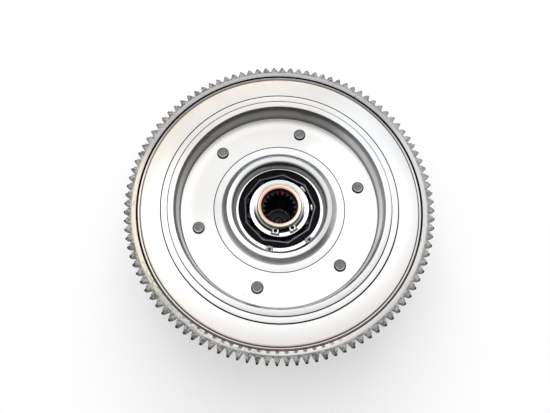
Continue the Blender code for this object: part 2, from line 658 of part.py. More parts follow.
def build_release_parts():
    turned("release_plate", [
        (RELEASE_R, RELEASE_TOP), (RELEASE_R, RELEASE_BACK), (SCREW_R + GAP, RELEASE_BACK),
        (SCREW_R + GAP, RELEASE_TOP)], SMALL_STEPS, PLATE_STEEL)
    clip_top = RELEASE_BACK + GAP
    clip_outer = RELEASE_R + GAP + RELEASE_CLIP_BITE
    start = math.radians(RELEASE_CLIP_START)
    end = start + TURN - RELEASE_CLIP_MOUTH
    clip_inner = clip_outer - RELEASE_CLIP_WIDTH
    body = arc(clip_outer, start, end, SMALL_STEPS) + arc(clip_inner, end, start, SMALL_STEPS)
    plate("release_plate_circlip", [body], clip_top, clip_top + RELEASE_CLIP_THICKNESS, SPRING_STEEL)
    screw = [(0.0, SCREW_TOP), (SCREW_R, SCREW_TOP), (SCREW_R, SCREW_END), (0.0, SCREW_END)]
    turned("adjuster_screw", screw, PIN_STEPS, FASTENER_STEEL)
    plate("adjuster_nut", [circle(NUT_R, 6), circle(SCREW_R + GAP, PIN_STEPS)],
          RELEASE_BACK + GAP, NUT_BACK, FASTENER_STEEL)


clear_scene()
build_starter_ring_gear()
build_flywheel_disc()
build_bearing_carrier()
build_rivets()
build_clutch_drum()
build_primary_sprocket()
build_bearing_races()
build_bearing_cage()
build_balls()
build_circlips()
build_splined_hub()
build_plates()
build_pressure_plate()
build_spring_and_retainer()
build_release_parts()
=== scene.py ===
"""Looks of the clutch-type flywheel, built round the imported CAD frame."""
import math
import random

import bmesh
import bpy
from mathutils import Matrix, Vector


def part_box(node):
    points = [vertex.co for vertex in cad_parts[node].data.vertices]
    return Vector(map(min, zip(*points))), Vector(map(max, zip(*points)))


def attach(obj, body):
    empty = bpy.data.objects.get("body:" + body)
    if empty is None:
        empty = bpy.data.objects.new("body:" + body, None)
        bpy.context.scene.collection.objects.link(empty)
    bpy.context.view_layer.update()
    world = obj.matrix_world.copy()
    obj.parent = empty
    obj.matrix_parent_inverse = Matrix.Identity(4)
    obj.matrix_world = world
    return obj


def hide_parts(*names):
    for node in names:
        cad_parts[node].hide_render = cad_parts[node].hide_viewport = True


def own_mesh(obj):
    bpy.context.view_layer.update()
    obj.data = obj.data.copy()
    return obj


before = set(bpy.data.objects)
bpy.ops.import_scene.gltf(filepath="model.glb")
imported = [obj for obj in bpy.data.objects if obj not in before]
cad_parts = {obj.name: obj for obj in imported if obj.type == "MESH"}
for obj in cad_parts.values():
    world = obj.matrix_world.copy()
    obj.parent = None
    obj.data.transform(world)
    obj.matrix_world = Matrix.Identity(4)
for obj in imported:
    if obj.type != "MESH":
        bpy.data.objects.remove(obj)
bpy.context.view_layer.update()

MM = 0.001
TURN = 2 * math.pi

# ---- places taken from the frame (millimetres; depths run down from the disc's front face) ----
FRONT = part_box("flywheel_disc")[1].z / MM


def span(node):
    """(outer radius, top depth, bottom depth) of a CAD node centred on the axis."""
    low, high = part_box(node)
    return max(high.x, high.y) / MM, FRONT - high.z / MM, FRONT - low.z / MM


GEAR_TIP_R, _, GEAR_BACK = span("starter_ring_gear")
SHOULDER_R, _, FLOOR_BACK = span("flywheel_disc")
CARRIER_FLANGE_R, BOSS_TOP, CARRIER_NOSE = span("bearing_carrier")
BEARING_R, BEARING_TOP, BEARING_BACK = span("bearing_outer_race")
BEARING_MIDDLE = (BEARING_TOP + BEARING_BACK) / 2
_, CLIP_TOP, CLIP_BOTTOM = span("shaft_circlip")
HUB_FLANGE_R, HUB_TOP, HUB_END = span("splined_hub")
DRUM_R, DRUM_TOP, DRUM_END = span("clutch_drum")
SPROCKET_R, SPROCKET_TOP, SPROCKET_BACK = span("primary_sprocket")
CAGE_R, CAGE_TOP, CAGE_BACK = span("bearing_cage")
PRESSURE_R, PRESSURE_TOP, PRESSURE_BACK = span("pressure_plate")
SPRING_R, SPRING_TOP, SPRING_BACK = span("diaphragm_spring")

# ---- sizes, counts and angles in degrees that the boxes don't hold ----
GEAR_TEETH = 106
GEAR_PHASE = 0.163    # share of a tooth's pitch
GEAR_BORE_R = 125.6
TOOTH_TOP_R = 133.5
LIP_R = 124.0
EDGE_GROOVE_R = 122.0
OUTER_GROOVE_R = 104.4
INNER_GROOVE_R = 98.6
RECESS_EDGE_R = 93.4
RECESS_FOOT_R = 90.6
FLOOR_DEPTH = 18.3
SPIGOT_R = 59.7
RIVET_CIRCLE_R = 75.4
RIVET_HEAD_R = 5.6
BALL_COUNT = 9
BALL_PHASE = 3.5
BALL_R = 6.3
BALL_CIRCLE_R = 32.5
CAGE_CORNER_R = 32.4
BORE_CLIP_LUGS = (-49.0, 257.0)
SHAFT_CLIP_LUGS = (-59.0, 260.6)
CLIP_GROOVE_R = 18.9
HUB_R = 20.3
SPLINE_COUNT = 19
SPLINE_PHASE = 0.62    # share of a spline's pitch
SPLINE_MINOR_R = 12.6
SPLINE_MAJOR_R = 15.2
SLOT_COUNT = 12
SLOT_WIDTH = 13.0
SLOT_TOP = 41.0
DRUM_INNER_R = 82.0
SPROCKET_TEETH = 46
HUB_DRUM_R = 54.0
HUB_DRUM_INNER_R = 48.0
HUB_FINGERS = 6
GAP = 0.3

# sky: height at which it starts and stops brightening, and how bright it is
HORIZON = 0.10
ZENITH = 0.85
HORIZON_LIGHT = 0.25
ZENITH_LIGHT = 0.80
SIDE_LIGHT = 0.5

# camera: place in metres from the middle of the front face, lean and roll, lens and sensor width
EYE = (-0.0107, -0.1215, 0.385)
LEAN = 16.88
ROLL = -0.94
LENS = 30.1
SENSOR = 36.0

rng = random.Random(4)


# ---- mesh helpers ----
def polar(radius, angle):
    return (radius * math.cos(angle), radius * math.sin(angle))


def place(radius, angle, depth):
    """Point in metres from a radius, an angle and a depth in millimetres."""
    x, y = polar(radius * MM, angle)
    return (x, y, (FRONT - depth) * MM)


def hoop(radius, depth, steps):
    return [place(radius, TURN * i / steps, depth) for i in range(steps)]


def linked(name, data):
    """A new object in the scene."""
    item = bpy.data.objects.new(name, data)
    bpy.context.scene.collection.objects.link(item)
    return item


def baked(item):
    """Mesh of an object once its curve or modifiers are worked out."""
    bpy.context.view_layer.update()
    mesh = bpy.data.meshes.new_from_object(item.evaluated_get(bpy.context.evaluated_depsgraph_get()))
    mesh.materials.clear()
    return mesh


def from_shape(name, shape):
    """Mesh of a bmesh, which is freed."""
    mesh = bpy.data.meshes.new(name)
    shape.to_mesh(mesh)
    shape.free()
    return mesh


def add_piece(name, mesh, body, nodes, surface, sharp=32):
    """Puts a mesh in the scene as a piece that rides on a body and stands for CAD nodes."""
    piece = linked(name, mesh)
    mesh.materials.append(surface)
    mesh.shade_smooth()
    mesh.set_sharp_from_angle(angle=math.radians(sharp))
    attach(piece, body)
    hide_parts(*nodes)
    return piece


def rounded(profile, steps=4):
    """Closed profile of (radius, depth, fillet) corners with each fillet swept as a short curve."""
    points = []
    count = len(profile)
    for i, (radius, depth, fillet) in enumerate(profile):
        corner = Vector((radius, depth))
        before = Vector(profile[i - 1][:2])
        after = Vector(profile[(i + 1) % count][:2])
        if fillet <= 0:
            points.append((radius, depth))
            continue
        to_before = before - corner
        to_after = after - corner
        half = to_before.angle(to_after) / 2
        reach = min(fillet / math.tan(half), 0.45 * to_before.length, 0.45 * to_after.length)
        start = corner + to_before.normalized() * reach
        end = corner + to_after.normalized() * reach
        for k in range(steps + 1):
            t = k / steps
            point = start * (1 - t) ** 2 + corner * 2 * t * (1 - t) + end * t ** 2
            points.append((point.x, point.y))
    return points


def welded(mesh, distance, dissolve=False):
    """The mesh with points nearer than a distance in metres joined and its faces turned outwards."""
    shape = bmesh.new()
    shape.from_mesh(mesh)
    bmesh.ops.remove_doubles(shape, verts=shape.verts, dist=distance)
    if dissolve:
        bmesh.ops.dissolve_degenerate(shape, edges=shape.edges, dist=distance)
    bmesh.ops.recalc_face_normals(shape, faces=shape.faces)
    shape.to_mesh(mesh)
    shape.free()
    return mesh


def skin(rings):
    """Mesh whose faces join each ring of points to the next and the last to the first."""
    mesh = bpy.data.meshes.new("skin")
    count = len(rings[0])
    points = [point for ring in rings for point in ring]
    faces = []
    for k in range(len(rings)):
        low = k * count
        high = (k + 1) % len(rings) * count
        for i in range(count):
            j = (i + 1) % count
            faces.append((low + i, high + i, high + j, low + j))
    mesh.from_pydata(points, [], faces)
    return welded(mesh, 0.0000005, True)


def lathe(profile, steps=192, centre=(0.0, 0.0)):
    """Turned solid from (radius, depth, fillet) corners."""
    rings = []
    for radius, depth in rounded(profile):
        ring = []
        for i in range(steps):
            x, y = polar(radius, TURN * i / steps)
            ring.append(((x + centre[0]) * MM, (y + centre[1]) * MM, (FRONT - depth) * MM))
        rings.append(ring)
    return skin(rings)


def outline_plate(outlines, top, bottom, edge=0.2):
    """Flat piece with rounded edges from (x, y) outlines, the first outside and the rest holes."""
    curve = bpy.data.curves.new("outline", "CURVE")
    curve.dimensions = "2D"
    curve.fill_mode = "BOTH"
    curve.extrude = ((bottom - top) / 2 - edge) * MM
    curve.bevel_depth = edge * MM
    curve.bevel_resolution = 1
    curve.offset = -edge * MM
    for outline in outlines:
        spline = curve.splines.new("POLY")
        spline.points.add(len(outline) - 1)
        for point, (x, y) in zip(spline.points, outline):
            point.co = (x * MM, y * MM, 0.0, 1.0)
        spline.use_cyclic_u = True
    guide = linked("outline", curve)
    guide.location.z = (FRONT - (top + bottom) / 2) * MM
    mesh = baked(guide)
    mesh.transform(guide.matrix_world)
    bpy.data.objects.remove(guide, do_unlink=True)
    return welded(mesh, 0.000001)


def add_plate(name, node, body, outlines, edge, surface, sharp=32):
    """Adds a flat piece that is as thick as its CAD node."""
    _, top, bottom = span(node)
    add_piece(name, outline_plate(outlines, top, bottom, edge), body, [node], surface, sharp)


def box_mesh(boxes):
    """Several boxes as one mesh, each (radius, angle, depth, size)."""
    shape = bmesh.new()
    for radius, angle, depth, size in boxes:
        put = Matrix.Rotation(angle, 4, "Z") @ Matrix.Translation((radius * MM, 0.0, (FRONT - depth) * MM))
        scale = Matrix.Diagonal((size[0] * MM, size[1] * MM, size[2] * MM, 1.0))
        bmesh.ops.create_cube(shape, size=1.0, matrix=put @ scale)
    return from_shape("boxes", shape)


def carved(mesh, cutters, edge=0.3):
    """Mesh less the cutter meshes, with its sharp edges bevelled."""
    body = linked("body", mesh)
    tools = [linked("tool", cutter) for cutter in cutters]
    for tool in tools:
        step = body.modifiers.new("carve", "BOOLEAN")
        step.operation = "DIFFERENCE"
        step.solver = "EXACT"
        step.object = tool
    if edge:
        bevel = body.modifiers.new("edges", "BEVEL")
        bevel.width = edge * MM
        bevel.segments = 2
        bevel.limit_method = "ANGLE"
        bevel.angle_limit = math.radians(50)
    result = baked(body)
    for item in tools + [body]:
        bpy.data.objects.remove(item, do_unlink=True)
    return result


def merged(meshes):
    """Several meshes as one mesh."""
    shape = bmesh.new()
    for mesh in meshes:
        shape.from_mesh(mesh)
    return from_shape("merged", shape)


def arc(radius, start, end, count):
    return [polar(radius, start + (end - start) * i / count) for i in range(count + 1)]


def circle(radius, count, centre=(0.0, 0.0)):
    last = TURN * (count - 1) / count
    return [(centre[0] + x, centre[1] + y) for x, y in arc(radius, 0.0, last, count - 1)]


def around(count, first_degrees=0.0):
    return [math.radians(first_degrees) + TURN * i / count for i in range(count)]


# ---- material nodes ----
# Directions round the axis are in degrees: 0 is east, 90 north, 180 west, and 270 south, the near side.
# Many tones depend on them, because the turned faces reflect different sides of a room.
OIL_AND_SHADE = (0.012, 0.011, 0.010)    # oily dirt in grooves and joints, and painted shade in gaps, beside circlips and under their lugs


def grey(level):
    return (level, level, level)


def rgba(colour):
    return (*colour, 1.0) if isinstance(colour, tuple) else colour


class Nodes:
    """Adds nodes to a shader tree; sockets and plain numbers can be mixed."""

    def __init__(self, tree):
        self.tree = tree

    def node(self, kind, **inputs):
        made = self.tree.nodes.new("ShaderNode" + kind)
        for name, value in inputs.items():
            self.link(value, made.inputs[name])
        return made

    def link(self, source, target):
        if isinstance(source, bpy.types.NodeSocket):
            self.tree.links.new(source, target)
        else:
            target.default_value = source

    def split(self, vector):
        return self.node("SeparateXYZ", Vector=vector).outputs

    def math(self, operation, a, b=0.0):
        made = self.node("Math")
        made.operation = operation
        self.link(a, made.inputs[0])
        self.link(b, made.inputs[1])
        return made.outputs[0]

    def times(self, product, *factors):
        for factor in factors:
            product = self.math("MULTIPLY", product, factor)
        return product

    def plus(self, a, b):
        return self.math("ADD", a, b)

    def minus(self, a, b):
        return self.math("SUBTRACT", a, b)

    def ramp(self, value, low, high, first, last):
        """first where the value is below low, last where it is above high, and a line between."""
        made = self.node("MapRange")
        for number, socket in zip((value, low, high, first, last), made.inputs):
            self.link(number, socket)
        return made.outputs[0]


class Surface(Nodes):
    """A Principled material whose colour is built up with paint and shade.

    Its x, y, z, radius and depth are in millimetres and its angle is in radians.
    """

    def __init__(self, name, metallic=1.0):
        self.material = bpy.data.materials.new(name)
        self.material.use_nodes = True
        super().__init__(self.material.node_tree)
        self.shader = self.tree.nodes["Principled BSDF"]
        self.shader.inputs["Metallic"].default_value = metallic
        self.object = self.node("TexCoord").outputs["Object"]
        self.x, self.y, self.z = [self.times(metres, 1 / MM) for metres in self.split(self.object)]
        self.radius = self.length(self.x, self.y)
        self.depth = self.minus(FRONT, self.z)
        self.angle = self.math("ARCTAN2", self.y, self.x)

    def length(self, x, y):
        return self.math("SQRT", self.plus(self.times(x, x), self.times(y, y)))

    def smooth(self, value, low, high):
        """0 below low, 1 above high (or the other way round), eased between."""
        eased = self.ramp(value, min(low, high), max(low, high), float(low > high), float(low < high))
        eased.node.interpolation_type = "SMOOTHSTEP"
        return eased

    def band(self, value, centre, half, soft):
        """1 within half of the centre, fading over soft."""
        away = self.math("ABSOLUTE", self.minus(value, centre))
        return self.smooth(away, half + soft, half)

    def spread(self, value, middle, range_):
        """Turns a 0-1 pattern into middle plus or minus half the range."""
        return self.plus(self.times(value, range_), middle - range_ / 2)

    def towards(self, degrees, start, full):
        """1 towards a direction round the axis; start and full are cosines of the angle from it."""
        return self.smooth(self.facing(degrees), start, full)

    def facing(self, degrees):
        """1 towards a direction round the axis, -1 away from it."""
        return self.math("COSINE", self.minus(self.angle, math.radians(degrees)))

    def down(self, start, full):
        """0 at the depth start, 1 at the depth full, whichever is deeper."""
        return self.smooth(self.depth, start, full)

    def across(self, start, full):
        """0 at the radius start, 1 at the radius full, whichever is larger."""
        return self.smooth(self.radius, start, full)

    def ring(self, radius, half, soft):
        return self.band(self.radius, radius, half, soft)

    def mix(self, factor, a, b):
        made = self.node("Mix")
        made.data_type = "RGBA"
        self.link(factor, made.inputs[0])
        self.link(rgba(a), made.inputs[6])
        self.link(rgba(b), made.inputs[7])
        return made.outputs[2]

    def cover(self, colour, tint, *masks):
        """The colour turned into the tint as far as the product of the masks."""
        return self.mix(self.times(*masks), colour, tint)

    def paint(self, tint, *masks):
        self.colour = self.cover(self.colour, tint, *masks)

    def shade(self, tint, *masks):
        """Multiplies the surface's colour by the tint as far as the product of the masks."""
        self.paint(tint, *masks)
        self.colour.node.blend_type = "MULTIPLY"

    def noise(self, vector, scale, detail=3.0, roughness=0.55):
        made = self.node("TexNoise", Vector=vector, Scale=scale, Detail=detail, Roughness=roughness)
        return made.outputs["Fac"]

    def vector(self, x, y, z):
        return self.node("CombineXYZ", X=x, Y=y, Z=z).outputs[0]

    def turning(self, pitch):
        """Lathe marks: fine rings that follow the turned surface, a pitch apart."""
        along = self.times(self.plus(self.radius, self.z), 1.0 / pitch)
        return self.noise(self.vector(along, self.times(self.angle, 1.5), 0.0), 1.0, 2.0)

    def specks(self, cell, size, share, shift=0.0):
        """Sparse dots: one in a share of the cells, all lengths in millimetres."""
        moved = self.node("VectorMath")
        moved.operation = "ADD"
        self.link(self.object, moved.inputs[0])
        moved.inputs[1].default_value = (shift * MM, shift * MM, 0.0)
        made = self.node("TexVoronoi", Vector=moved.outputs[0], Scale=1.0 / (cell * MM))
        split = self.node("SeparateColor", Color=made.outputs["Color"])
        chosen = self.math("LESS_THAN", split.outputs[0], share)
        return self.times(chosen, self.smooth(made.outputs["Distance"], size / cell, 0.5 * size / cell))

    def finish(self, roughness, height=None, strength=0.2, depth=0.02):
        """The material, with bumps from a height pattern: their strength, and their depth in millimetres."""
        self.link(self.colour, self.shader.inputs["Base Color"])
        self.link(roughness, self.shader.inputs["Roughness"])
        if height is not None:
            bump = self.node("Bump", Strength=strength, Distance=depth * MM, Height=height)
            self.link(bump.outputs["Normal"], self.shader.inputs["Normal"])
        return self.material


def gear_surface():
    """Pitted dull teeth with dark edges; a smoother band inside them is straw-coloured in the west."""
    s = Surface("ring_gear_steel")
    blotch = s.noise(s.object, 130.0, 5.0, 0.65)
    pits = s.noise(s.object, 520.0, 4.0, 0.7)
    mottled = s.plus(s.times(blotch, 0.35), s.times(pits, 0.65))
    turns = s.minus(s.times(s.angle, GEAR_TEETH / TURN), GEAR_PHASE - 4 * GEAR_TEETH)
    off = s.math("ABSOLUTE", s.minus(s.math("MODULO", s.plus(turns, 0.5), 1.0), 0.5))
    aside = s.times(off, TURN * TOOTH_TOP_R / GEAR_TEETH)    # from the nearest tooth's middle

    s.colour = s.mix(s.smooth(mottled, 0.40, 0.60), (0.13, 0.125, 0.12), (0.48, 0.475, 0.46))
    half_tooth = s.plus(s.times(s.minus(s.radius, 137.0), -0.40), 0.6)
    edge = s.smooth(s.minus(half_tooth, aside), 0.45, 0.0)
    s.paint((0.06, 0.055, 0.05), edge, s.across(130.6, 131.6), 0.55)
    # Painted shade on the teeth to the north and a painted highlight to the east.
    s.shade(grey(0.72), s.towards(90, 0.2, 0.9))
    s.paint((0.64, 0.63, 0.62), s.towards(0, 0.2, 0.9), 0.2)

    band = s.mix(s.smooth(mottled, 0.36, 0.64), (0.36, 0.355, 0.35), (0.46, 0.458, 0.45))
    # The band's lighter and straw tones to the south-east, south, west and east are painted reflections.
    band = s.cover(band, (0.60, 0.58, 0.58), s.towards(315, 0.70, 0.95), 0.9)
    band = s.cover(band, (0.72, 0.70, 0.68), s.towards(262, 0.72, 0.93), 0.8)
    band = s.cover(band, (0.76, 0.70, 0.58), s.towards(190, 0.80, 0.96), 0.95)
    band = s.cover(band, (0.66, 0.66, 0.65), s.towards(2, 0.80, 0.95), 0.8)
    band = s.cover(band, (0.25, 0.24, 0.23), s.towards(235, 0.80, 0.95), s.smooth(pits, 0.47, 0.58), 0.6)
    wavy = s.plus(s.radius, s.times(s.minus(pits, 0.5), 1.2))
    s.paint(band, s.smooth(wavy, 129.9, 128.9))

    # Tooth tips painted nearly black over the south half, as shade.
    tips = s.across(134.7, 135.8)
    s.paint((0.010, 0.009, 0.008), tips, s.towards(260, -0.5, 0.3), 0.9)
    # Painted shade down the sides of the teeth.
    flanks = s.times(s.down(3.2, 5.0), s.across(130.8, 131.6))
    s.paint((0.03, 0.028, 0.026), flanks, 0.6)
    # Dark half-moons beside the gap, one at each tooth, painted to the south only.
    away = s.length(s.times(s.minus(s.radius, 126.2), 1 / 1.5), s.times(aside, 1 / 1.9))
    half_moons = s.smooth(s.times(away, away), 1.3, 0.5)
    s.paint((0.10, 0.09, 0.088), half_moons, s.towards(262, 0.80, 0.93), 0.8)
    scratch = s.ring(129.3, 0.2, 0.4)
    s.paint((0.13, 0.12, 0.115), scratch, s.towards(270, 0.95, 0.985), 0.8)
    s.paint((0.09, 0.075, 0.065), s.smooth(blotch, 0.60, 0.74), 0.5)
    # Painted shade on the bore face down in the gap to the disc, a lighter brown to the south.
    near = s.towards(278, -0.1, 0.8)
    bore = s.smooth(s.plus(s.radius, s.times(near, 0.8)), 126.2, 125.9)
    gap_shade = s.mix(near, OIL_AND_SHADE, (0.10, 0.08, 0.07))
    s.paint(gap_shade, bore, s.down(0.15, 0.5), s.down(6.0, 4.0))
    return s.finish(s.spread(mottled, 0.46, 0.3), mottled, 0.5, 0.10)


def disc_surface():
    """Ground face with tints near its rim, dark lines in its grooves, and a recess wall painted darker as in
    shade.
    """
    s = Surface("ground_disc_steel")
    rings = s.turning(0.22)
    broad = s.noise(s.object, 22.0, 3.0)
    cloud = s.noise(s.object, 60.0, 4.0, 0.6)
    face = s.down(1.2, 0.8)
    rim = s.across(105.0, 122.0)

    s.colour = s.mix(s.spread(broad, 0.5, 0.6), (0.84, 0.835, 0.825), (0.93, 0.925, 0.915))
    # Painted shade and dimmer reflections: the face to the north, the strip inside the inner groove to the
    # south-east and the floor to the north-west.
    s.shade((0.61, 0.61, 0.605), s.towards(90, -0.1, 0.65), face)
    strip = s.across(98.7, 98.4)
    s.shade((0.84, 0.84, 0.845), strip, face, s.towards(300, 0.2, 0.8))
    floor = s.across(90.0, 76.0)
    s.shade((0.70, 0.705, 0.705), floor, s.towards(125, -0.2, 0.7))

    # Tints near the rim by direction, the darker rim to the north and the faint blue to the east are painted
    # reflections and shade.
    straw = s.times(s.towards(128, 0.0, 0.95), s.spread(rim, 0.42, 0.6), s.spread(cloud, 0.55, 0.6))
    s.paint((0.90, 0.80, 0.66), straw)
    s.paint((0.96, 0.90, 0.78), s.towards(185, 0.3, 1.0), rim, 0.35)
    s.paint((0.90, 0.84, 0.81), s.towards(275, 0.2, 1.0), rim, 0.4)
    s.shade(grey(0.80), s.towards(110, 0.2, 0.8), rim)
    s.paint((0.90, 0.94, 0.97), s.towards(20, 0.6, 1.0), 0.4)
    burnt = s.times(s.ring(121.5, 0.3, 0.8), s.spread(cloud, 0.4, 0.6))
    s.paint((0.50, 0.37, 0.28), burnt, s.towards(200, -0.6, 0.5))

    # The recess wall is painted as lit and shaded steel: dark as in shade, lighter part way down, and bright
    # to the east and west as painted light.
    wall = s.times(s.across(RECESS_EDGE_R + 0.2, RECESS_EDGE_R - 0.2), s.down(0.1, 0.6))
    streaks = s.noise(s.vector(s.times(s.z, 0.9), s.times(s.angle, 1.3), 0.0), 1.0, 3.0)
    tone = s.plus(s.times(s.band(s.depth, 9.5, 2.2, 4.0), 0.6), s.times(streaks, 0.5))
    bright = s.mix(tone, (0.22, 0.22, 0.215), (0.86, 0.86, 0.85))
    steel = s.mix(tone, (0.11, 0.108, 0.106), (0.36, 0.355, 0.35))
    steel = s.cover(steel, bright, s.towards(15, 0.70, 0.92), 0.8)
    steel = s.cover(steel, bright, s.towards(195, 0.72, 0.97), 0.45)
    s.paint(steel, wall, s.down(FLOOR_DEPTH - 0.1, FLOOR_DEPTH - 0.6))

    # Dark lines in the grooves are partly oily dirt and partly painted shade: fainter to the north-east, and
    # painted wider and darker to the south.
    for radius, half, dark, faint in ((INNER_GROOVE_R, 0.28, 0.75, 0.5), (OUTER_GROOVE_R, 0.34, 0.92, 0.1)):
        line = s.ring(radius, half, 0.25)
        fade = s.spread(s.towards(40, 0.95, 0.6), 1.0 - faint / 2, faint)
        s.paint(OIL_AND_SHADE, line, fade, s.spread(cloud, dark, 0.2))
        heavy = s.ring(radius, half + 0.22, 0.2)
        s.paint(OIL_AND_SHADE, heavy, s.towards(285, 0.1, 0.8), dark)

    leaning = s.plus(s.radius, s.times(s.facing(90), 0.6))    # a radius that shrinks to the north
    # The lip is painted darker to the north as shade; the dark line in the edge groove is partly dirt and
    # partly painted shade, heavier to the south.
    lip = s.smooth(leaning, EDGE_GROOVE_R + 0.4, EDGE_GROOVE_R + 0.7)
    s.paint((0.21, 0.205, 0.205), lip, s.towards(92, 0.1, 0.8))
    line = s.band(leaning, EDGE_GROOVE_R, 0.4, 0.3)
    s.paint((0.06, 0.045, 0.035), line, s.spread(cloud, 0.85, 0.2))
    heavy = s.band(leaning, EDGE_GROOVE_R, 0.45, 0.3)
    s.paint((0.07, 0.05, 0.04), heavy, s.towards(270, -0.1, 0.6), 0.8)
    # Painted shade on the disc's outer wall down in the gap to the ring gear, a lighter brown to the south.
    gap = s.times(s.across(LIP_R - 0.1, LIP_R + 0.05), s.down(0.2, 0.6), s.down(6.0, 4.0))
    gap_shade = s.mix(s.towards(278, -0.1, 0.8), OIL_AND_SHADE, (0.20, 0.16, 0.14))
    s.paint(gap_shade, gap)
    s.paint(OIL_AND_SHADE, s.ring(SPIGOT_R + 0.2, 0.35, 0.25), 0.75)
    # Painted shade at the foot of the recess wall.
    foot = s.ring(RECESS_FOOT_R, 0.5, 0.4)
    s.paint((0.10, 0.098, 0.095), foot, s.down(FLOOR_DEPTH - 1.2, FLOOR_DEPTH - 0.4), 0.75)
    specks = s.plus(s.specks(16.0, 0.6, 0.12), s.specks(9.0, 0.35, 0.06, 31.0))
    s.paint((0.05, 0.045, 0.04), s.math("MINIMUM", specks, 0.85))
    rough = s.plus(s.spread(rings, 0.30, 0.10), s.times(cloud, 0.08))
    return s.finish(rough, rings, 0.25, 0.012)


def carrier_surface():
    """Pale boss and floor with a grey cone between them, and a pocket above the bearing painted dark as in
    shade.
    """
    s = Surface("bearing_carrier_steel")
    rings = s.turning(0.3)
    cloud = s.noise(s.object, 70.0, 4.0, 0.6)
    s.colour = s.mix(s.spread(cloud, 0.5, 0.7), grey(0.82), grey(0.93))
    # Painted shade and dimmer reflections: the boss darker and bluer to the north-east, the floor darker to
    # the north-west.
    boss = s.across(48.3, 47.9)
    s.shade((0.64, 0.65, 0.66), boss, s.towards(50, -0.75, 0.2))
    floor = s.across(52.2, 53.0)
    s.shade((0.71, 0.72, 0.72), floor, s.towards(125, -0.3, 0.6))
    # The cone's greys by direction are painted light and shade: darker to the north, bright to the east,
    # lighter to the south-west.
    cone = s.times(s.across(47.1, 47.9), s.across(53.7, 52.4))
    steel = s.mix(s.towards(90, 0.60, 1.0), (0.40, 0.405, 0.41), (0.30, 0.31, 0.32))
    steel = s.cover(steel, (0.85, 0.86, 0.86), s.towards(2, 0.72, 0.98))
    steel = s.cover(steel, (0.60, 0.60, 0.61), s.towards(222, 0.65, 1.0))
    s.paint(steel, cone, s.down(BOSS_TOP + 0.1, BOSS_TOP + 0.8))
    # Painted shade in the pocket above the bearing, darker further down.
    upper = s.down(BOSS_TOP + 5.0, BOSS_TOP + 1.5)
    steel = s.mix(upper, (0.155, 0.157, 0.155), (0.40, 0.41, 0.40))
    pocket = s.across(44.2, 43.9)
    s.paint(steel, pocket, s.down(BOSS_TOP + 0.2, BOSS_TOP + 1.2))
    s.paint(OIL_AND_SHADE, s.ring(SPIGOT_R, 0.18, 0.22), 0.75)
    s.paint((0.06, 0.05, 0.05), s.math("MINIMUM", s.specks(12.0, 0.4, 0.06), 0.8))
    rough = s.plus(s.spread(rings, 0.30, 0.12), s.times(cloud, 0.08))
    return s.finish(rough, rings, 0.3, 0.015)


def rivet_surface(centre):
    """Pressed rivet head: dull and mottled, with a bright and then a black crescent on its south side, a
    painted highlight and a painted shadow.
    """
    s = Surface("rivet_steel")
    cloud = s.noise(s.object, 420.0, 5.0, 0.7)
    s.colour = s.mix(s.smooth(cloud, 0.35, 0.65), (0.13, 0.132, 0.135), grey(0.25))
    rise = s.minus(s.y, centre[1])
    away = s.length(s.minus(s.x, centre[0]), rise)
    south = s.smooth(s.math("DIVIDE", rise, s.math("MAXIMUM", away, 0.5)), 0.0, -0.6)
    # Painted shade round the edge of the head.
    edge = s.smooth(away, RIVET_HEAD_R - 0.7, RIVET_HEAD_R - 0.3)
    s.paint(grey(0.06), edge, 0.7)
    s.paint((0.50, 0.51, 0.49), s.band(away, 3.75, 0.25, 0.35), south, 0.8)
    s.paint(grey(0.010), s.smooth(away, 4.15, 4.45), south, 0.95)
    return s.finish(s.spread(cloud, 0.48, 0.3), cloud, 0.5, 0.1)


def bearing_surface():
    """Bright races; painted shade lies beside and under both circlips."""
    s = Surface("bearing_race_steel")
    rings = s.turning(0.12)
    cloud = s.noise(s.object, 90.0, 3.0)
    s.colour = s.mix(s.spread(cloud, 0.5, 0.8), grey(0.84), (0.94, 0.94, 0.93))
    # Painted shade seen through the shaft circlip's opening, between its lugs.
    between = s.band(s.angle, math.radians(-79.2), math.radians(13), math.radians(2))
    s.paint(OIL_AND_SHADE, between, s.across(24.0, 23.6))
    # Painted shade under and round the shaft circlip's lugs.
    for degrees in SHAFT_CLIP_LUGS:
        middle = math.radians((degrees + 180) % 360 - 180)
        under = s.band(s.angle, middle, math.radians(9.0), math.radians(0.8))
        s.paint(OIL_AND_SHADE, under, s.across(26.7, 26.4), 0.9)
    # Painted shade on the inner race to the north.
    inner = s.across(29.0, 28.5)
    s.shade(grey(0.62), inner, s.towards(90, 0.3, 0.95))
    # Painted shadow lines to the south beside the shaft circlip and the bore circlip.
    edge = s.across(24.1, 23.8)
    s.paint(OIL_AND_SHADE, edge, s.towards(266, -0.05, 0.35), 0.95)
    edge = s.across(40.6, 40.9)
    s.paint(OIL_AND_SHADE, edge, s.towards(272, 0.0, 0.4), 0.95)
    # Painted shade under and round the bore circlip's lugs.
    for degrees in BORE_CLIP_LUGS:
        under = s.towards(degrees, 0.9962, 0.9970)
        s.paint(OIL_AND_SHADE, under, s.across(36.8, 37.1), 0.95)
    return s.finish(s.spread(rings, 0.2, 0.08), rings, 0.12, 0.006)


def ball_surface():
    """Balls painted nearly black as in the shade inside the bearing, with a painted glint on the two in the
    east.
    """
    s = Surface("ball_steel")
    cloud = s.noise(s.object, 160.0, 2.0)
    s.colour = s.mix(cloud, (0.012, 0.012, 0.015), (0.022, 0.022, 0.026))
    glint = s.times(s.towards(23, 0.90, 0.93), s.ring(30.0, 0.4, 0.4))
    s.paint(grey(0.9), glint, s.down(BEARING_MIDDLE - 3.0, BEARING_MIDDLE - 5.0))
    return s.finish(s.spread(cloud, 0.08, 0.06))


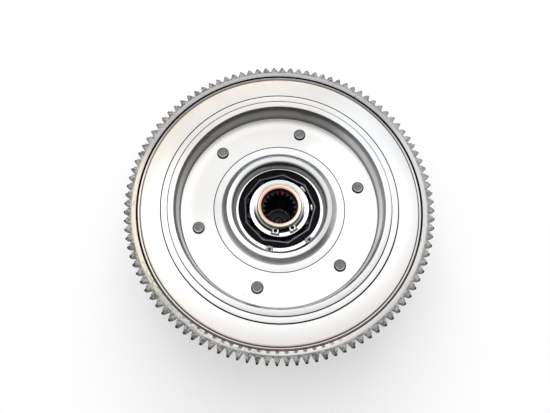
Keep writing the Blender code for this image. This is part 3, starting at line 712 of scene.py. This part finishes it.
def cage_surface():
    """Black moulding with a paler ridge, a painted highlight, that follows the edge of its nine-sided bore.
    """
    s = Surface("moulded_cage_plastic", 0.0)
    cloud = s.noise(s.object, 260.0, 4.0)
    s.colour = s.mix(cloud, (0.003, 0.003, 0.005), (0.008, 0.008, 0.012))
    pitch = TURN / BALL_COUNT
    turn = s.math("MODULO", s.plus(s.angle, 2 * TURN - math.radians(BALL_PHASE)), pitch)
    across = s.times(s.radius, s.math("COSINE", s.minus(turn, pitch / 2)))
    inset = s.minus(across, CAGE_CORNER_R * math.cos(pitch / 2))
    # Painted highlight along the ridge, strongest to the south-east.
    ridge = s.times(s.band(inset, 0.5, 0.45, 0.5), s.down(CAGE_TOP + 0.9, CAGE_TOP + 0.4))
    uneven_highlight = s.times(s.spread(s.towards(330, -1.0, 0.8), 0.75, 0.5), s.spread(cloud, 0.85, 0.4))
    s.paint((0.33, 0.32, 0.36), ridge, uneven_highlight)
    s.shader.inputs["Specular IOR Level"].default_value = 0.03
    return s.finish(s.spread(cloud, 0.2, 0.15), cloud, 0.2, 0.04)


def grained(s, scale=500.0):
    return s.noise(s.object, scale, 4.0, 0.6)


def spring_finish(s, grain):
    return s.finish(s.spread(grain, 0.3, 0.2), grain, 0.25, 0.03)


def circlip_surface(name, dark, light):
    s = Surface(name)
    grain = grained(s)
    s.colour = s.mix(grain, dark, light)
    return spring_finish(s, grain)


def bore_clip_surface():
    """Dark ring whose two lugs are lighter."""
    s = Surface("bore_circlip_steel")
    grain = grained(s)
    s.colour = s.mix(grain, (0.09, 0.09, 0.085), (0.15, 0.15, 0.145))
    lugs = s.times(s.towards(284, 0.78, 0.84), s.across(42.0, 41.6))
    s.paint(grey(0.30), lugs, s.spread(grain, 0.9, 0.2))
    return spring_finish(s, grain)


def shaft_clip_surface():
    """Bright ring that is olive-dark over its south half, where its lugs are; the lugs themselves are bright.
    """
    s = Surface("shaft_circlip_steel")
    grain = grained(s)
    s.colour = s.mix(grain, (0.66, 0.66, 0.65), (0.84, 0.84, 0.83))
    # Painted shade to the north.
    s.shade((0.50, 0.50, 0.49), s.towards(90, 0.3, 0.95))
    south = s.towards(272, -0.30, 0.45)
    s.paint((0.20, 0.19, 0.165), south, 0.85)
    # Painted shadow line along the outer edge to the south.
    s.paint(OIL_AND_SHADE, s.across(21.8, 22.2), south)
    lugs = s.times(s.towards(281, 0.86, 0.92), s.across(21.2, 21.6))
    s.paint(grey(0.86), lugs)
    return spring_finish(s, grain)


def hub_surface():
    """Cream ring end, peach and then burnt towards the bore; splines painted dark as in the bore's shade; a
    dab of red paint.
    """
    s = Surface("splined_hub_steel")
    rings = s.turning(0.2)
    cloud = s.noise(s.object, 120.0, 4.0, 0.6)
    near_top = s.down(HUB_TOP + 4.5, HUB_TOP + 1.0)
    s.colour = s.mix(s.spread(cloud, 0.5, 0.6), (0.66, 0.65, 0.62), (0.80, 0.79, 0.75))
    # The cream and peach lean by direction over the real tint as painted reflections, and the end is painted
    # darker to the west as shade.
    cream = s.mix(s.times(s.towards(300, -0.6, 0.8), 0.5), (0.82, 0.75, 0.60), (0.80, 0.72, 0.66))
    s.paint(cream, near_top)
    blurred = s.plus(s.radius, s.times(s.minus(cloud, 0.5), 0.8))
    peach = s.times(s.smooth(blurred, 19.1, 18.3), near_top)
    north_west = s.spread(s.towards(140, -0.9, 0.5), 0.52, 0.80)
    s.paint((0.80, 0.46, 0.33), peach, north_west)
    s.shade(grey(0.86), s.towards(180, -0.6, 0.0))
    s.paint((0.34, 0.09, 0.04), s.across(17.3, 16.7), near_top, 0.95)
    s.paint((0.20, 0.19, 0.17), s.ring(19.85, 0.12, 0.18), near_top, 0.6)
    outside = s.times(s.across(19.7, 20.1), s.down(HUB_TOP + 0.5, HUB_TOP + 1.5))
    s.paint((0.13, 0.125, 0.105), outside, 0.9)

    # Painted shade in the splined bore, with the spline ends painted lighter to the north as light.
    deep = s.times(s.across(16.3, 15.9), s.down(HUB_TOP + 1.0, HUB_TOP + 2.5))
    spline_ends = s.times(s.down(21.0, 19.6), s.towards(95, -0.9, 0.4))
    s.paint(s.mix(spline_ends, (0.008, 0.009, 0.014), (0.040, 0.046, 0.056)), deep)
    wander = s.plus(s.angle, s.times(s.minus(cloud, 0.5), 0.14))
    reach = s.band(wander, math.radians(80), math.radians(5), math.radians(3))
    dab = s.times(reach, s.across(17.0, 16.5), s.down(25.0, 23.0))
    s.paint((0.30, 0.030, 0.022), dab, s.smooth(cloud, 0.36, 0.50), 0.95)
    rough = s.plus(s.spread(rings, 0.33, 0.12), s.times(deep, 0.12))
    return s.finish(rough, rings, 0.25, 0.012)


def drum_surface(name):
    s = Surface(name)
    rings = s.turning(0.3)
    cast = s.noise(s.object, 900.0, 3.0, 0.6)
    cloud = s.noise(s.object, 45.0, 3.0)
    s.colour = s.mix(s.spread(cloud, 0.5, 0.7), (0.62, 0.62, 0.63), (0.78, 0.78, 0.79))
    height = s.plus(s.times(rings, 0.5), s.times(cast, 0.5))
    return s.finish(s.spread(cast, 0.38, 0.15), height, 0.35, 0.03)


def sprocket_surface():
    s = Surface("sprocket_steel")
    cloud = s.noise(s.object, 160.0, 4.0, 0.6)
    s.colour = s.mix(s.spread(cloud, 0.5, 0.8), (0.20, 0.20, 0.205), (0.34, 0.34, 0.345))
    s.paint(grey(0.62), s.across(90.0, 93.5), 0.6)
    return s.finish(s.spread(cloud, 0.38, 0.2), cloud, 0.3, 0.05)


def friction_surface():
    s = Surface("friction_lining", 0.0)
    grain = s.noise(s.object, 900.0, 4.0, 0.7)
    s.colour = s.mix(grain, (0.07, 0.045, 0.028), (0.20, 0.13, 0.08))
    s.paint((0.45, 0.33, 0.18), s.specks(1.6, 0.5, 0.12), 0.7)
    return s.finish(s.spread(grain, 0.8, 0.2), grain, 0.5, 0.08)


def plate_surface(name, dark, light):
    s = Surface(name)
    tumble = grained(s, 320.0)
    s.colour = s.mix(s.smooth(tumble, 0.3, 0.7), dark, light)
    return s.finish(s.spread(tumble, 0.34, 0.18), tumble, 0.25, 0.03)


def release_surface():
    """Disc painted dark as in the shade at the far end of the hub's bore, with a bright ring just inside the
    bore's radius.
    """
    s = Surface("release_plate_steel")
    tumble = grained(s, 320.0)
    s.colour = s.mix(tumble, (0.055, 0.056, 0.066), (0.08, 0.082, 0.096))
    s.paint((0.75, 0.76, 0.80), s.ring(12.1, 0.22, 0.25), 0.9)
    return s.finish(s.spread(tumble, 0.4, 0.18), tumble, 0.25, 0.03)


GEAR = gear_surface()
DISC = disc_surface()
CARRIER = carrier_surface()
BEARING = bearing_surface()
BALL = ball_surface()
CAGE = cage_surface()
BORE_CLIP = bore_clip_surface()
SHAFT_CLIP = shaft_clip_surface()
HUB = hub_surface()
DRUM = drum_surface("drum_aluminium")
PRESSURE = drum_surface("pressure_plate_aluminium")
SPROCKET = sprocket_surface()
FRICTION = friction_surface()
PLATE = plate_surface("steel_plate_steel", (0.40, 0.40, 0.41), (0.62, 0.62, 0.63))
RELEASE = release_surface()
RETAINER = circlip_surface("retaining_ring_steel", (0.55, 0.55, 0.55), (0.75, 0.75, 0.74))
DIAPHRAGM = circlip_surface("diaphragm_spring_steel", (0.20, 0.20, 0.22), (0.36, 0.36, 0.38))
# The adjusting screw and lock nut are painted as dark as the release disc, as in the shade deep in the hub's
# bore.
FASTENER = plate_surface("fastener_shaded_steel", (0.052, 0.053, 0.063), (0.078, 0.08, 0.094))


# ---- starter ring gear ----
def tooth_profile():
    """(offset along the circle, radius) down one flank of a tooth, tip first."""
    return [(0.0, 137.16), (0.50, 137.12), (0.78, 136.95), (1.08, 136.1), (1.38, 135.2), (1.74, 134.2),
            (2.18, 133.0), (2.62, 131.9), (3.05, 131.15), (3.55, 130.8)]


def build_ring_gear():
    half = tooth_profile()
    flank = [(-offset, radius) for offset, radius in reversed(half)] + half[1:]
    wear = [(rng.uniform(-0.25, 0.2), rng.uniform(-0.5, 0.5)) for _ in range(GEAR_TEETH)]
    outline = []
    for tooth in range(GEAR_TEETH):
        middle = TURN * (tooth + GEAR_PHASE) / GEAR_TEETH
        for offset, radius in flank:
            outline.append((middle + offset / radius, radius, tooth))
    limit = GEAR_TIP_R - 0.02

    def ring(depth, cap, follow_wear=0.0):
        points = []
        for angle, radius, tooth in outline:
            top = cap + wear[tooth][1] * follow_wear
            points.append(place(min(radius + wear[tooth][0] * (radius > 136), top, limit), angle, depth))
        return points

    def plain(radius, depth):
        return [place(radius, angle, depth) for angle, _, _ in outline]

    rings = [
        plain(GEAR_BORE_R + 0.5, GEAR_BACK), ring(GEAR_BACK, 130.6), ring(GEAR_BACK, 136.0),
        ring(GEAR_BACK - 0.7, 138), ring(3.5, 138, 0.6), ring(2.9, 137.0, 0.5), ring(0.25, 133.95, 0.35),
        ring(0.0, TOOTH_TOP_R, 0.35), ring(0.0, 130.4), plain(126.2, 0.0), plain(GEAR_BORE_R + 0.12, 0.25),
        plain(GEAR_BORE_R, 0.6), plain(GEAR_BORE_R, GEAR_BACK - 0.5),
    ]
    add_piece("ring_gear", skin(rings), "drum", ["starter_ring_gear"], GEAR, 28)


# ---- disc, carrier and rivets ----
def groove(radius, half, deep):
    """Corners of a fine V groove in the front face, met going outwards."""
    return [(radius - half, 0.0, 0.05), (radius, deep, 0.05), (radius + half, 0.0, 0.05)]


def build_disc():
    seat_r = GEAR_BORE_R - GAP
    shoulder = GEAR_BACK + GAP
    profile = [
        (LIP_R, 0.0, 0.35), (LIP_R, 3.0, 0.1), (seat_r, 3.0, 0.1), (seat_r, shoulder, 0.1),
        (SHOULDER_R - 0.01, shoulder, 0.5), (SHOULDER_R - 0.01, 15.0, 0.8), (95.5, 15.0, 3.0),
        (95.5, FLOOR_BACK, 1.2), (SPIGOT_R + 0.25, FLOOR_BACK, 0.2), (SPIGOT_R + 0.25, FLOOR_DEPTH, 0.2),
        (90.0, FLOOR_DEPTH, 0.5), (RECESS_FOOT_R, 17.3, 0.5), (91.7, 3.5, 0.8), (RECESS_EDGE_R, 0.0, 0.35),
        *groove(INNER_GROOVE_R, 0.30, 0.35), *groove(OUTER_GROOVE_R, 0.46, 0.5),
        *groove(EDGE_GROOVE_R, 0.3, 0.25),
    ]
    add_piece("disc", lathe(profile, 288), "drum", ["flywheel_disc"], DISC)


def build_carrier():
    pocket_r = BEARING_R + GAP
    profile = [
        (47.8, BOSS_TOP, 0.5), (49.2, 14.6, 0.8), (51.2, 17.4, 0.8), (52.8, FLOOR_DEPTH, 0.6),
        (SPIGOT_R, FLOOR_DEPTH, 0.2), (SPIGOT_R, FLOOR_BACK + 0.3, 0.1),
        (CARRIER_FLANGE_R, FLOOR_BACK + 0.3, 0.5), (CARRIER_FLANGE_R, 28.1, 0.5), (50.0, 28.1, 1.5),
        (50.0, CARRIER_NOSE, 0.8), (39.0, CARRIER_NOSE, 0.4), (39.0, BEARING_BACK + 0.3, 0.2),
        (pocket_r, BEARING_BACK + 0.3, 0.2), (pocket_r, CLIP_BOTTOM + 0.3, 0.1),
        (44.4, CLIP_BOTTOM + 0.3, 0.1), (44.4, CLIP_TOP - 0.3, 0.1), (pocket_r, CLIP_TOP - 0.3, 0.15),
        (pocket_r, BOSS_TOP + 1.0, 0.3), (43.8, BOSS_TOP, 0.2),
    ]
    add_piece("carrier", lathe(profile, 224), "drum", ["bearing_carrier"], CARRIER)


def build_rivets():
    for number, angle in enumerate(around(6, 15.0), 1):
        _, top, bottom = span(f"rivet_{number}")
        seat = FLOOR_DEPTH - 0.15
        profile = [
            (0.0, top + 0.25, 0.0), (RIVET_HEAD_R * 0.62, top + 0.16, 1.0), (RIVET_HEAD_R * 0.86, top, 0.3),
            (RIVET_HEAD_R - 0.05, top + 0.22, 0.25), (RIVET_HEAD_R, seat, 0.1), (4.0, seat, 0.0),
            (4.0, bottom - 2.0, 0.0), (5.5, bottom - 2.0, 0.3), (5.2, bottom - 0.3, 0.8), (0.0, bottom, 0.0),
        ]
        centre = polar(RIVET_CIRCLE_R, angle)
        add_piece(f"drum_rivet_{number}", lathe(profile, 48, centre), "drum", [f"rivet_{number}"],
                  rivet_surface(centre))


# ---- ball bearing ----
def raceway(land_r, side, steps=12):
    """Groove corners from bottom to top; side is +1 on the outer race and -1 on the inner race."""
    curve_r = BALL_R + 0.25
    reach = math.acos(abs(land_r - BALL_CIRCLE_R) / curve_r)
    points = []
    for i in range(steps + 1):
        x, y = polar(curve_r, reach * (1 - 2 * i / steps))
        points.append((BALL_CIRCLE_R + side * x, BEARING_MIDDLE + y, 0.0))
    return points


def build_bearing():
    outer = [
        (41.3, BEARING_TOP, 0.4), (BEARING_R, BEARING_TOP + 1.2, 0.6), (BEARING_R, BEARING_BACK, 0.8),
        (37.6, BEARING_BACK, 0.3), *raceway(37.5, 1), (37.5, BEARING_TOP + 0.3, 0.1),
        (37.9, BEARING_TOP, 0.2),
    ]
    inner = [
        (27.1, BEARING_TOP, 0.2), (27.3, BEARING_TOP + 0.3, 0.1), *reversed(raceway(27.3, -1)),
        (27.2, BEARING_BACK, 0.3), (20.6, BEARING_BACK, 0.8), (20.6, BEARING_TOP + 1.2, 0.4),
        (21.8, BEARING_TOP, 0.4),
    ]
    add_piece("outer_race", lathe(outer, 160), "drum", ["bearing_outer_race"], BEARING)
    add_piece("inner_race", lathe(inner, 128), "hub", ["bearing_inner_race"], BEARING)


def build_balls():
    for number, angle in enumerate(around(BALL_COUNT, BALL_PHASE), 1):
        name = f"bearing_ball_{number}"
        shape = bmesh.new()
        put = Matrix.Translation(place(BALL_CIRCLE_R, angle, BEARING_MIDDLE))
        bmesh.ops.create_uvsphere(shape, u_segments=32, v_segments=20, radius=BALL_R * MM, matrix=put)
        add_piece(name, from_shape(name, shape), "cage", [f"ball_{number}"], BALL, 60)


def cage_bore(angle, inset):
    """Radius of the cage's nine-sided bore at an angle, moved outwards by inset; its corners are rounded."""
    pitch = TURN / BALL_COUNT
    off = (angle - math.radians(BALL_PHASE)) % pitch - pitch / 2
    flat = CAGE_CORNER_R * math.cos(pitch / 2) / math.cos(off)
    return min(flat, CAGE_CORNER_R - 0.35) + inset


def build_cage():
    """Moulded snap cage: closed towards the disc's face, its pockets open on the other side."""
    steps = 360
    section = [(0.0, CAGE_BACK), (0.0, CAGE_TOP + 1.0), (0.15, CAGE_TOP + 0.35), (0.45, CAGE_TOP),
               (0.95, CAGE_TOP), (1.25, CAGE_TOP + 0.35)]
    rings = []
    for inset, depth in section:
        turns = [TURN * i / steps for i in range(steps)]
        rings.append([place(cage_bore(turn, inset), turn, depth) for turn in turns])
    for radius, depth in ((34.2, CAGE_TOP + 0.45), (36.4, CAGE_TOP + 0.1), (36.9, CAGE_TOP + 0.25),
                          (CAGE_R, CAGE_TOP + 0.7), (CAGE_R, CAGE_BACK)):
        rings.append(hoop(radius, depth, steps))
    shape = bmesh.new()
    lay = Matrix.Rotation(math.pi / 2, 4, "Y")
    for angle in around(BALL_COUNT, BALL_PHASE):
        put = Matrix.Translation(place(BALL_CIRCLE_R, angle, BEARING_MIDDLE)) @ Matrix.Rotation(angle, 4, "Z")
        bmesh.ops.create_cone(shape, cap_ends=True, segments=48, radius1=(BALL_R + 0.25) * MM,
                              radius2=(BALL_R + 0.25) * MM, depth=2 * BALL_R * MM, matrix=put @ lay)
    mesh = carved(skin(rings), [from_shape("pockets", shape)], 0.0)
    add_piece("cage", mesh, "cage", ["bearing_cage"], CAGE, 35)


# ---- circlips ----
def circlip(name, node, body, edges, lugs, hole, surface):
    """Open ring with a drilled lug at each end, widest opposite the lugs.

    edges: radius of the plain edge, of the lug edge's side beside the lugs and opposite them.
    lugs: radius they reach, their two angles and half angle.  hole: its radius and circle.
    """
    plain, narrow, wide = edges
    reach, degrees, lug_half = lugs
    start, end = [math.radians(angle) for angle in degrees]
    middle = (start + end) / 2
    half = math.radians(lug_half)
    root = half * 1.35
    blend = narrow + (reach - narrow) * 0.35
    points = [polar(narrow, start - half), polar(reach, start - half * 0.9), polar(reach, start + half * 0.7),
              polar(blend, start + half)]
    for i in range(97):
        angle = start + root + (end - start - 2 * root) * i / 96
        share = (1 + math.cos(angle - middle)) / 2
        points.append(polar(narrow + (wide - narrow) * share, angle))
    points += [polar(blend, end - half), polar(reach, end - half * 0.7), polar(reach, end + half * 0.9),
               polar(narrow, end + half)]
    points += arc(plain, end + half, start - half, 110)
    hole_r, hole_circle = hole
    holes = [circle(hole_r, 20, polar(hole_circle, angle)) for angle in (start, end)]
    add_plate(name, node, body, [points, *holes], 0.15, surface, 40)


def build_circlips():
    circlip("bore_circlip_ring", "bore_circlip", "drum", (44.05, 41.2, 38.5), (37.4, BORE_CLIP_LUGS, 4.6),
            (1.3, 40.3), BORE_CLIP)
    circlip("shaft_circlip_ring", "shaft_circlip", "hub", (19.25, 22.4, 23.6), (25.1, SHAFT_CLIP_LUGS, 7.4),
            (1.7, 22.6), SHAFT_CLIP)


# ---- splined hub ----
def spline_radius(index, per_tooth, low, high):
    """Bore radius at a sample: low on a tooth's land, high in the space beside it."""
    turn = index / per_tooth - SPLINE_PHASE
    off = abs((turn + 0.5) % 1.0 - 0.5)
    share = min(max((off - 0.21) / 0.06, 0.0), 1.0)
    return high + (low - high) * share


def build_hub_sleeve():
    per_tooth = 20
    steps = SPLINE_COUNT * per_tooth
    sleeve_end = 62.5

    def splined(low, high, depth):
        return [place(spline_radius(i, per_tooth, low, high), TURN * i / steps, depth) for i in range(steps)]

    outside = rounded([
        (17.4, HUB_TOP, 0.2), (19.6, HUB_TOP, 0.5), (HUB_R, HUB_TOP + 0.9, 0.3), (HUB_R, CLIP_TOP - GAP, 0.1),
        (CLIP_GROOVE_R, CLIP_TOP - GAP, 0.1), (CLIP_GROOVE_R, CLIP_BOTTOM + GAP, 0.1),
        (HUB_R, CLIP_BOTTOM + GAP, 0.1), (HUB_R, BEARING_BACK + GAP, 0.1), (26.5, BEARING_BACK + GAP, 0.4),
        (26.5, 42.0, 0.5), (HUB_FLANGE_R, 42.0, 0.5), (HUB_FLANGE_R, 46.0, 0.5), (50.0, 46.0, 0.2),
        (50.0, 49.0, 0.1), (24.0, 49.0, 1.0), (24.0, sleeve_end, 0.8), (16.2, sleeve_end, 0.2),
    ])
    rings = [hoop(radius, depth, steps) for radius, depth in outside]
    rings += [splined(13.6, 15.6, sleeve_end), splined(SPLINE_MINOR_R, SPLINE_MAJOR_R, sleeve_end - 1.0),
              splined(SPLINE_MINOR_R, SPLINE_MAJOR_R, 20.2), splined(13.5, 15.3, 19.1),
              splined(15.6, 15.75, 19.0)]
    for radius, depth in ((15.9, 18.8), (15.9, HUB_TOP + 1.3), (16.0, HUB_TOP + 0.9), (16.7, HUB_TOP + 0.1)):
        rings.append(hoop(radius, depth, steps))
    return skin(rings)


def sector(inner_r, outer_r, middle, half, count=14):
    start = middle - half
    end = middle + half
    return arc(outer_r, start, end, count) + arc(inner_r, end, start, count)


def build_hub():
    wall = lathe([
        (HUB_DRUM_R, 45.9, 0.0), (HUB_DRUM_R, HUB_END, 0.3), (HUB_DRUM_INNER_R, HUB_END, 0.3),
        (HUB_DRUM_INNER_R, 45.9, 0.0)], 180)
    reach = 8.0
    grooves = box_mesh([(51.2 + reach / 2, angle, 65.2, (reach, 10.0, 31.0)) for angle in around(12)])
    half = math.pi / HUB_FINGERS - math.radians(16.0)
    gaps = [outline_plate([sector(44.0, 58.0, angle, half)], 69.6, HUB_END + 2, 0.05)
            for angle in around(HUB_FINGERS, 45.0)]
    _, ring_top, ring_bottom = span("spring_retaining_ring")
    ring_groove = lathe([
        (58.0, ring_top - GAP, 0), (58.0, ring_bottom + GAP, 0), (52.6, ring_bottom + GAP, 0),
        (52.6, ring_top - GAP, 0)], 96)
    wall = carved(wall, [grooves, *gaps, ring_groove], 0.25)
    add_piece("hub", merged([build_hub_sleeve(), wall]), "hub", ["splined_hub"], HUB, 30)


# ---- drum, sprocket and plates ----
def build_drum():
    profile = [
        (DRUM_R, DRUM_TOP, 0.6), (DRUM_R, DRUM_END, 0.0), (DRUM_INNER_R, DRUM_END, 0.0),
        (DRUM_INNER_R, 31.9, 1.5), (55.0, 31.9, 0.4), (55.0, DRUM_TOP, 0.4),
    ]
    length = DRUM_END - SLOT_TOP
    size = (12.0, SLOT_WIDTH, length + 2)
    middle_r = (DRUM_R + DRUM_INNER_R) / 2
    slots = box_mesh([(middle_r, angle, SLOT_TOP + length / 2 + 1, size) for angle in around(SLOT_COUNT)])
    add_piece("drum_basket", carved(lathe(profile, 192), [slots], 0.5), "drum", ["clutch_drum"], DRUM)


def sprocket_outline():
    """Chain sprocket teeth: a round seat for each roller with pointed teeth between."""
    pitch_r = 93.05
    roller_r = 4.3
    points = []
    for angle in around(SPROCKET_TEETH):
        seat_x = pitch_r
        for k in range(7):
            turn = math.radians(-62 + 124 * k / 6)
            x = seat_x - roller_r * math.cos(turn)
            y = roller_r * math.sin(turn)
            points.append((x * math.cos(angle) - y * math.sin(angle),
                           x * math.sin(angle) + y * math.cos(angle)))
        for share in (0.44, 0.5, 0.56):
            tip = angle + TURN / SPROCKET_TEETH * share
            points.append(polar(SPROCKET_R - 0.4 - 6 * abs(share - 0.5), tip))
    return points


def build_sprocket():
    mesh = outline_plate([sprocket_outline(), circle(86.8, 160)], SPROCKET_TOP, SPROCKET_BACK, 0.3)
    channel = lathe([(100, SPROCKET_TOP + 4.4, 0.0), (100, SPROCKET_BACK - 4.4, 0.0),
                     (88.4, SPROCKET_BACK - 4.4, 0.0), (88.4, SPROCKET_TOP + 4.4, 0.0)], 144)
    mesh = carved(mesh, [channel], 0.0)
    add_piece("sprocket", mesh, "drum", ["primary_sprocket"], SPROCKET)


def toothed(count, half, root_r, tip_r, steps, crown=()):
    """Outline with square teeth of a half width; crown lists further radii at a tooth's middle."""
    points = []
    for angle in around(count):
        root = math.asin(half / root_r)
        tip = math.asin(half / tip_r)
        middle = [polar(radius, angle) for radius in crown]
        points += [polar(tip_r, angle - tip), *middle, polar(tip_r, angle + tip)]
        points += arc(root_r, angle + root, angle + TURN / count - root, steps)
    return points


def build_plates():
    friction = [toothed(SLOT_COUNT, SLOT_WIDTH / 2 - 0.35, 78.5, 85.3, 10, [85.45]), circle(57.0, 96)]
    steel = [circle(77.4, 144), toothed(12, 4.7, 54.35, 51.6, 8)]
    for kind, count, body, outlines, edge, surface, slot in (
            ("friction", 5, "drum", friction, 0.25, FRICTION, "friction_lining"),
            ("steel", 4, "hub", steel, 0.2, PLATE, "plate_steel")):
        for number in range(1, count + 1):
            node = f"{kind}_plate_{number}"
            add_plate(f"{kind}_disc_{number}", node, body, outlines, edge, surface)


# ---- pressure plate and release ----
def build_pressure_plate():
    bore_r = 24.0
    _, release_top, release_back = span("release_plate")
    profile = [
        (30.0, PRESSURE_TOP, 0.4), (30.0, 70.4, 0.8), (PRESSURE_R, 70.4, 0.4), (PRESSURE_R, 74.0, 0.6),
        (34.0, 74.0, 1.5), (30.0, PRESSURE_BACK, 0.5), (bore_r, PRESSURE_BACK, 0.3),
        (bore_r, release_back + 2.1, 0.1), (bore_r + 1.5, release_back + 2.1, 0.1),
        (bore_r + 1.5, release_back, 0.1), (bore_r, release_back, 0.1), (bore_r, release_top - 0.3, 0.2),
        (21.5, release_top - 0.3, 0.2), (21.5, PRESSURE_TOP, 0.3),
    ]
    windows = [outline_plate([sector(47.4, 54.6, angle, math.radians(17.5))], 69.0, 75.0, 0.05)
               for angle in around(HUB_FINGERS, 15.0)]
    mesh = carved(lathe(profile, 160), windows, 0.3)
    add_piece("pressure_plate_casting", mesh, "release", ["pressure_plate"], PRESSURE)


def build_spring():
    profile = [
        (SPRING_R - 0.05, SPRING_TOP + 0.02, 0.2), (SPRING_R - 0.05, SPRING_TOP + 1.2, 0.3),
        (54.7, SPRING_BACK - 0.02, 0.2), (54.7, SPRING_BACK - 1.2, 0.2),
    ]
    slots = box_mesh([(57.0, angle, 75.5, (9.0, 2.0, 8.0)) for angle in around(18)])
    mesh = carved(lathe(profile, 144), [slots], 0.1)
    piece = add_piece("diaphragm", mesh, "release", ["diaphragm_spring"], DIAPHRAGM)
    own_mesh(piece)


def snap_ring(outer_r, inner_r, first_degrees, opening, steps):
    """Outline of an open ring; the opening is in radians."""
    start = math.radians(first_degrees)
    end = start + TURN - opening
    return arc(outer_r, start, end, steps) + arc(inner_r, end, start, steps)


def build_retainers():
    ring = snap_ring(59.9, 52.95, 52.0, 0.16, 120)
    add_plate("retaining_ring", "spring_retaining_ring", "hub", [ring], 0.2, RETAINER)
    ring = snap_ring(25.15, 22.25, -60.0, 0.9, 80)
    add_plate("release_circlip", "release_plate_circlip", "release", [ring], 0.2, RETAINER)


def build_release():
    _, top, bottom = span("release_plate")
    mesh = lathe([(23.65, top, 0.4), (23.65, bottom, 0.4), (4.3, bottom, 0.3), (4.3, top, 0.3)], 96)
    add_piece("release_disc", mesh, "release", ["release_plate"], RELEASE)
    _, top, bottom = span("adjuster_screw")
    thread = []
    depth = top + 0.6
    while depth < bottom - 1.0:
        thread += [(3.95, depth, 0.0), (3.45, depth + 0.5, 0.0)]
        depth += 1.0
    profile = [(0.0, top, 0.0), (3.2, top, 0.2), *thread, (3.3, bottom, 0.2), (0.0, bottom, 0.0)]
    slot = box_mesh([(0.0, math.radians(20), bottom, (9.0, 1.2, 2.4))])
    mesh = carved(lathe(profile, 40), [slot], 0.0)
    add_piece("adjusting_screw", mesh, "release", ["adjuster_screw"], FASTENER)
    add_plate("lock_nut", "adjuster_nut", "release", [circle(7.95, 6), circle(4.3, 40)], 0.35, FASTENER)


# ---- stage, light and camera ----
def build_stage():
    bpy.ops.mesh.primitive_plane_add(size=6.0, location=(0.0, 0.0, -0.0004))
    floor = bpy.context.object
    floor.name = "floor"
    pale = Surface("floor_white", 0.0)
    grain = pale.noise(pale.object, 3.0)
    pale.colour = pale.mix(grain, grey(0.90), grey(0.93))
    pale.finish(0.6)
    pale.shader.inputs["Emission Color"].default_value = (1.0, 1.0, 1.0, 1.0)
    pale.shader.inputs["Emission Strength"].default_value = 0.16
    floor.data.materials.append(pale.material)


def build_world():
    """Grey sky: dim along the horizon, bright overhead, and a little brighter to the left and right."""
    world = bpy.data.worlds.new("studio")
    bpy.context.scene.world = world
    world.use_nodes = True
    sky = Nodes(world.node_tree)
    x, _, z = sky.split(sky.node("TexCoord").outputs["Generated"])
    rise = sky.ramp(z, HORIZON, ZENITH, HORIZON_LIGHT, ZENITH_LIGHT)
    sides = sky.times(x, x, sky.minus(1.0, z), SIDE_LIGHT)
    background = sky.tree.nodes["Background"]
    background.inputs["Color"].default_value = (0.99, 0.99, 1.0, 1.0)
    sky.link(sky.plus(rise, sides), background.inputs["Strength"])


def area_light(name, location, size, power):
    light = bpy.data.lights.new(name, "AREA")
    light.shape = "RECTANGLE"
    light.size, light.size_y = size
    light.energy = power
    lamp = linked(name, light)
    lamp.location = location
    lamp.rotation_euler = (Vector((0.0, 0.0, 0.06)) - Vector(location)).to_track_quat("-Z", "Y").to_euler()


def build_lights():
    area_light("overhead", (-0.1, 0.60, 1.6), (1.5, 1.1), 4.0)
    area_light("behind", (0.0, 1.6, 1.25), (1.8, 0.5), 11.0)


def build_camera():
    camera = linked("camera", bpy.data.cameras.new("camera"))
    camera.data.sensor_width = SENSOR
    camera.data.lens = LENS
    camera.data.clip_start = 0.01
    camera.location = (EYE[0], EYE[1], FRONT * MM + EYE[2])
    camera.rotation_euler = (math.radians(LEAN), math.radians(ROLL), 0.0)
    bpy.context.scene.camera = camera
    bpy.context.scene.view_settings.view_transform = "Standard"


build_ring_gear()
build_disc()
build_carrier()
build_rivets()
build_bearing()
build_balls()
build_cage()
build_circlips()
build_hub()
build_drum()
build_sprocket()
build_plates()
build_pressure_plate()
build_spring()
build_retainers()
build_release()
build_stage()
build_world()
build_lights()
build_camera()
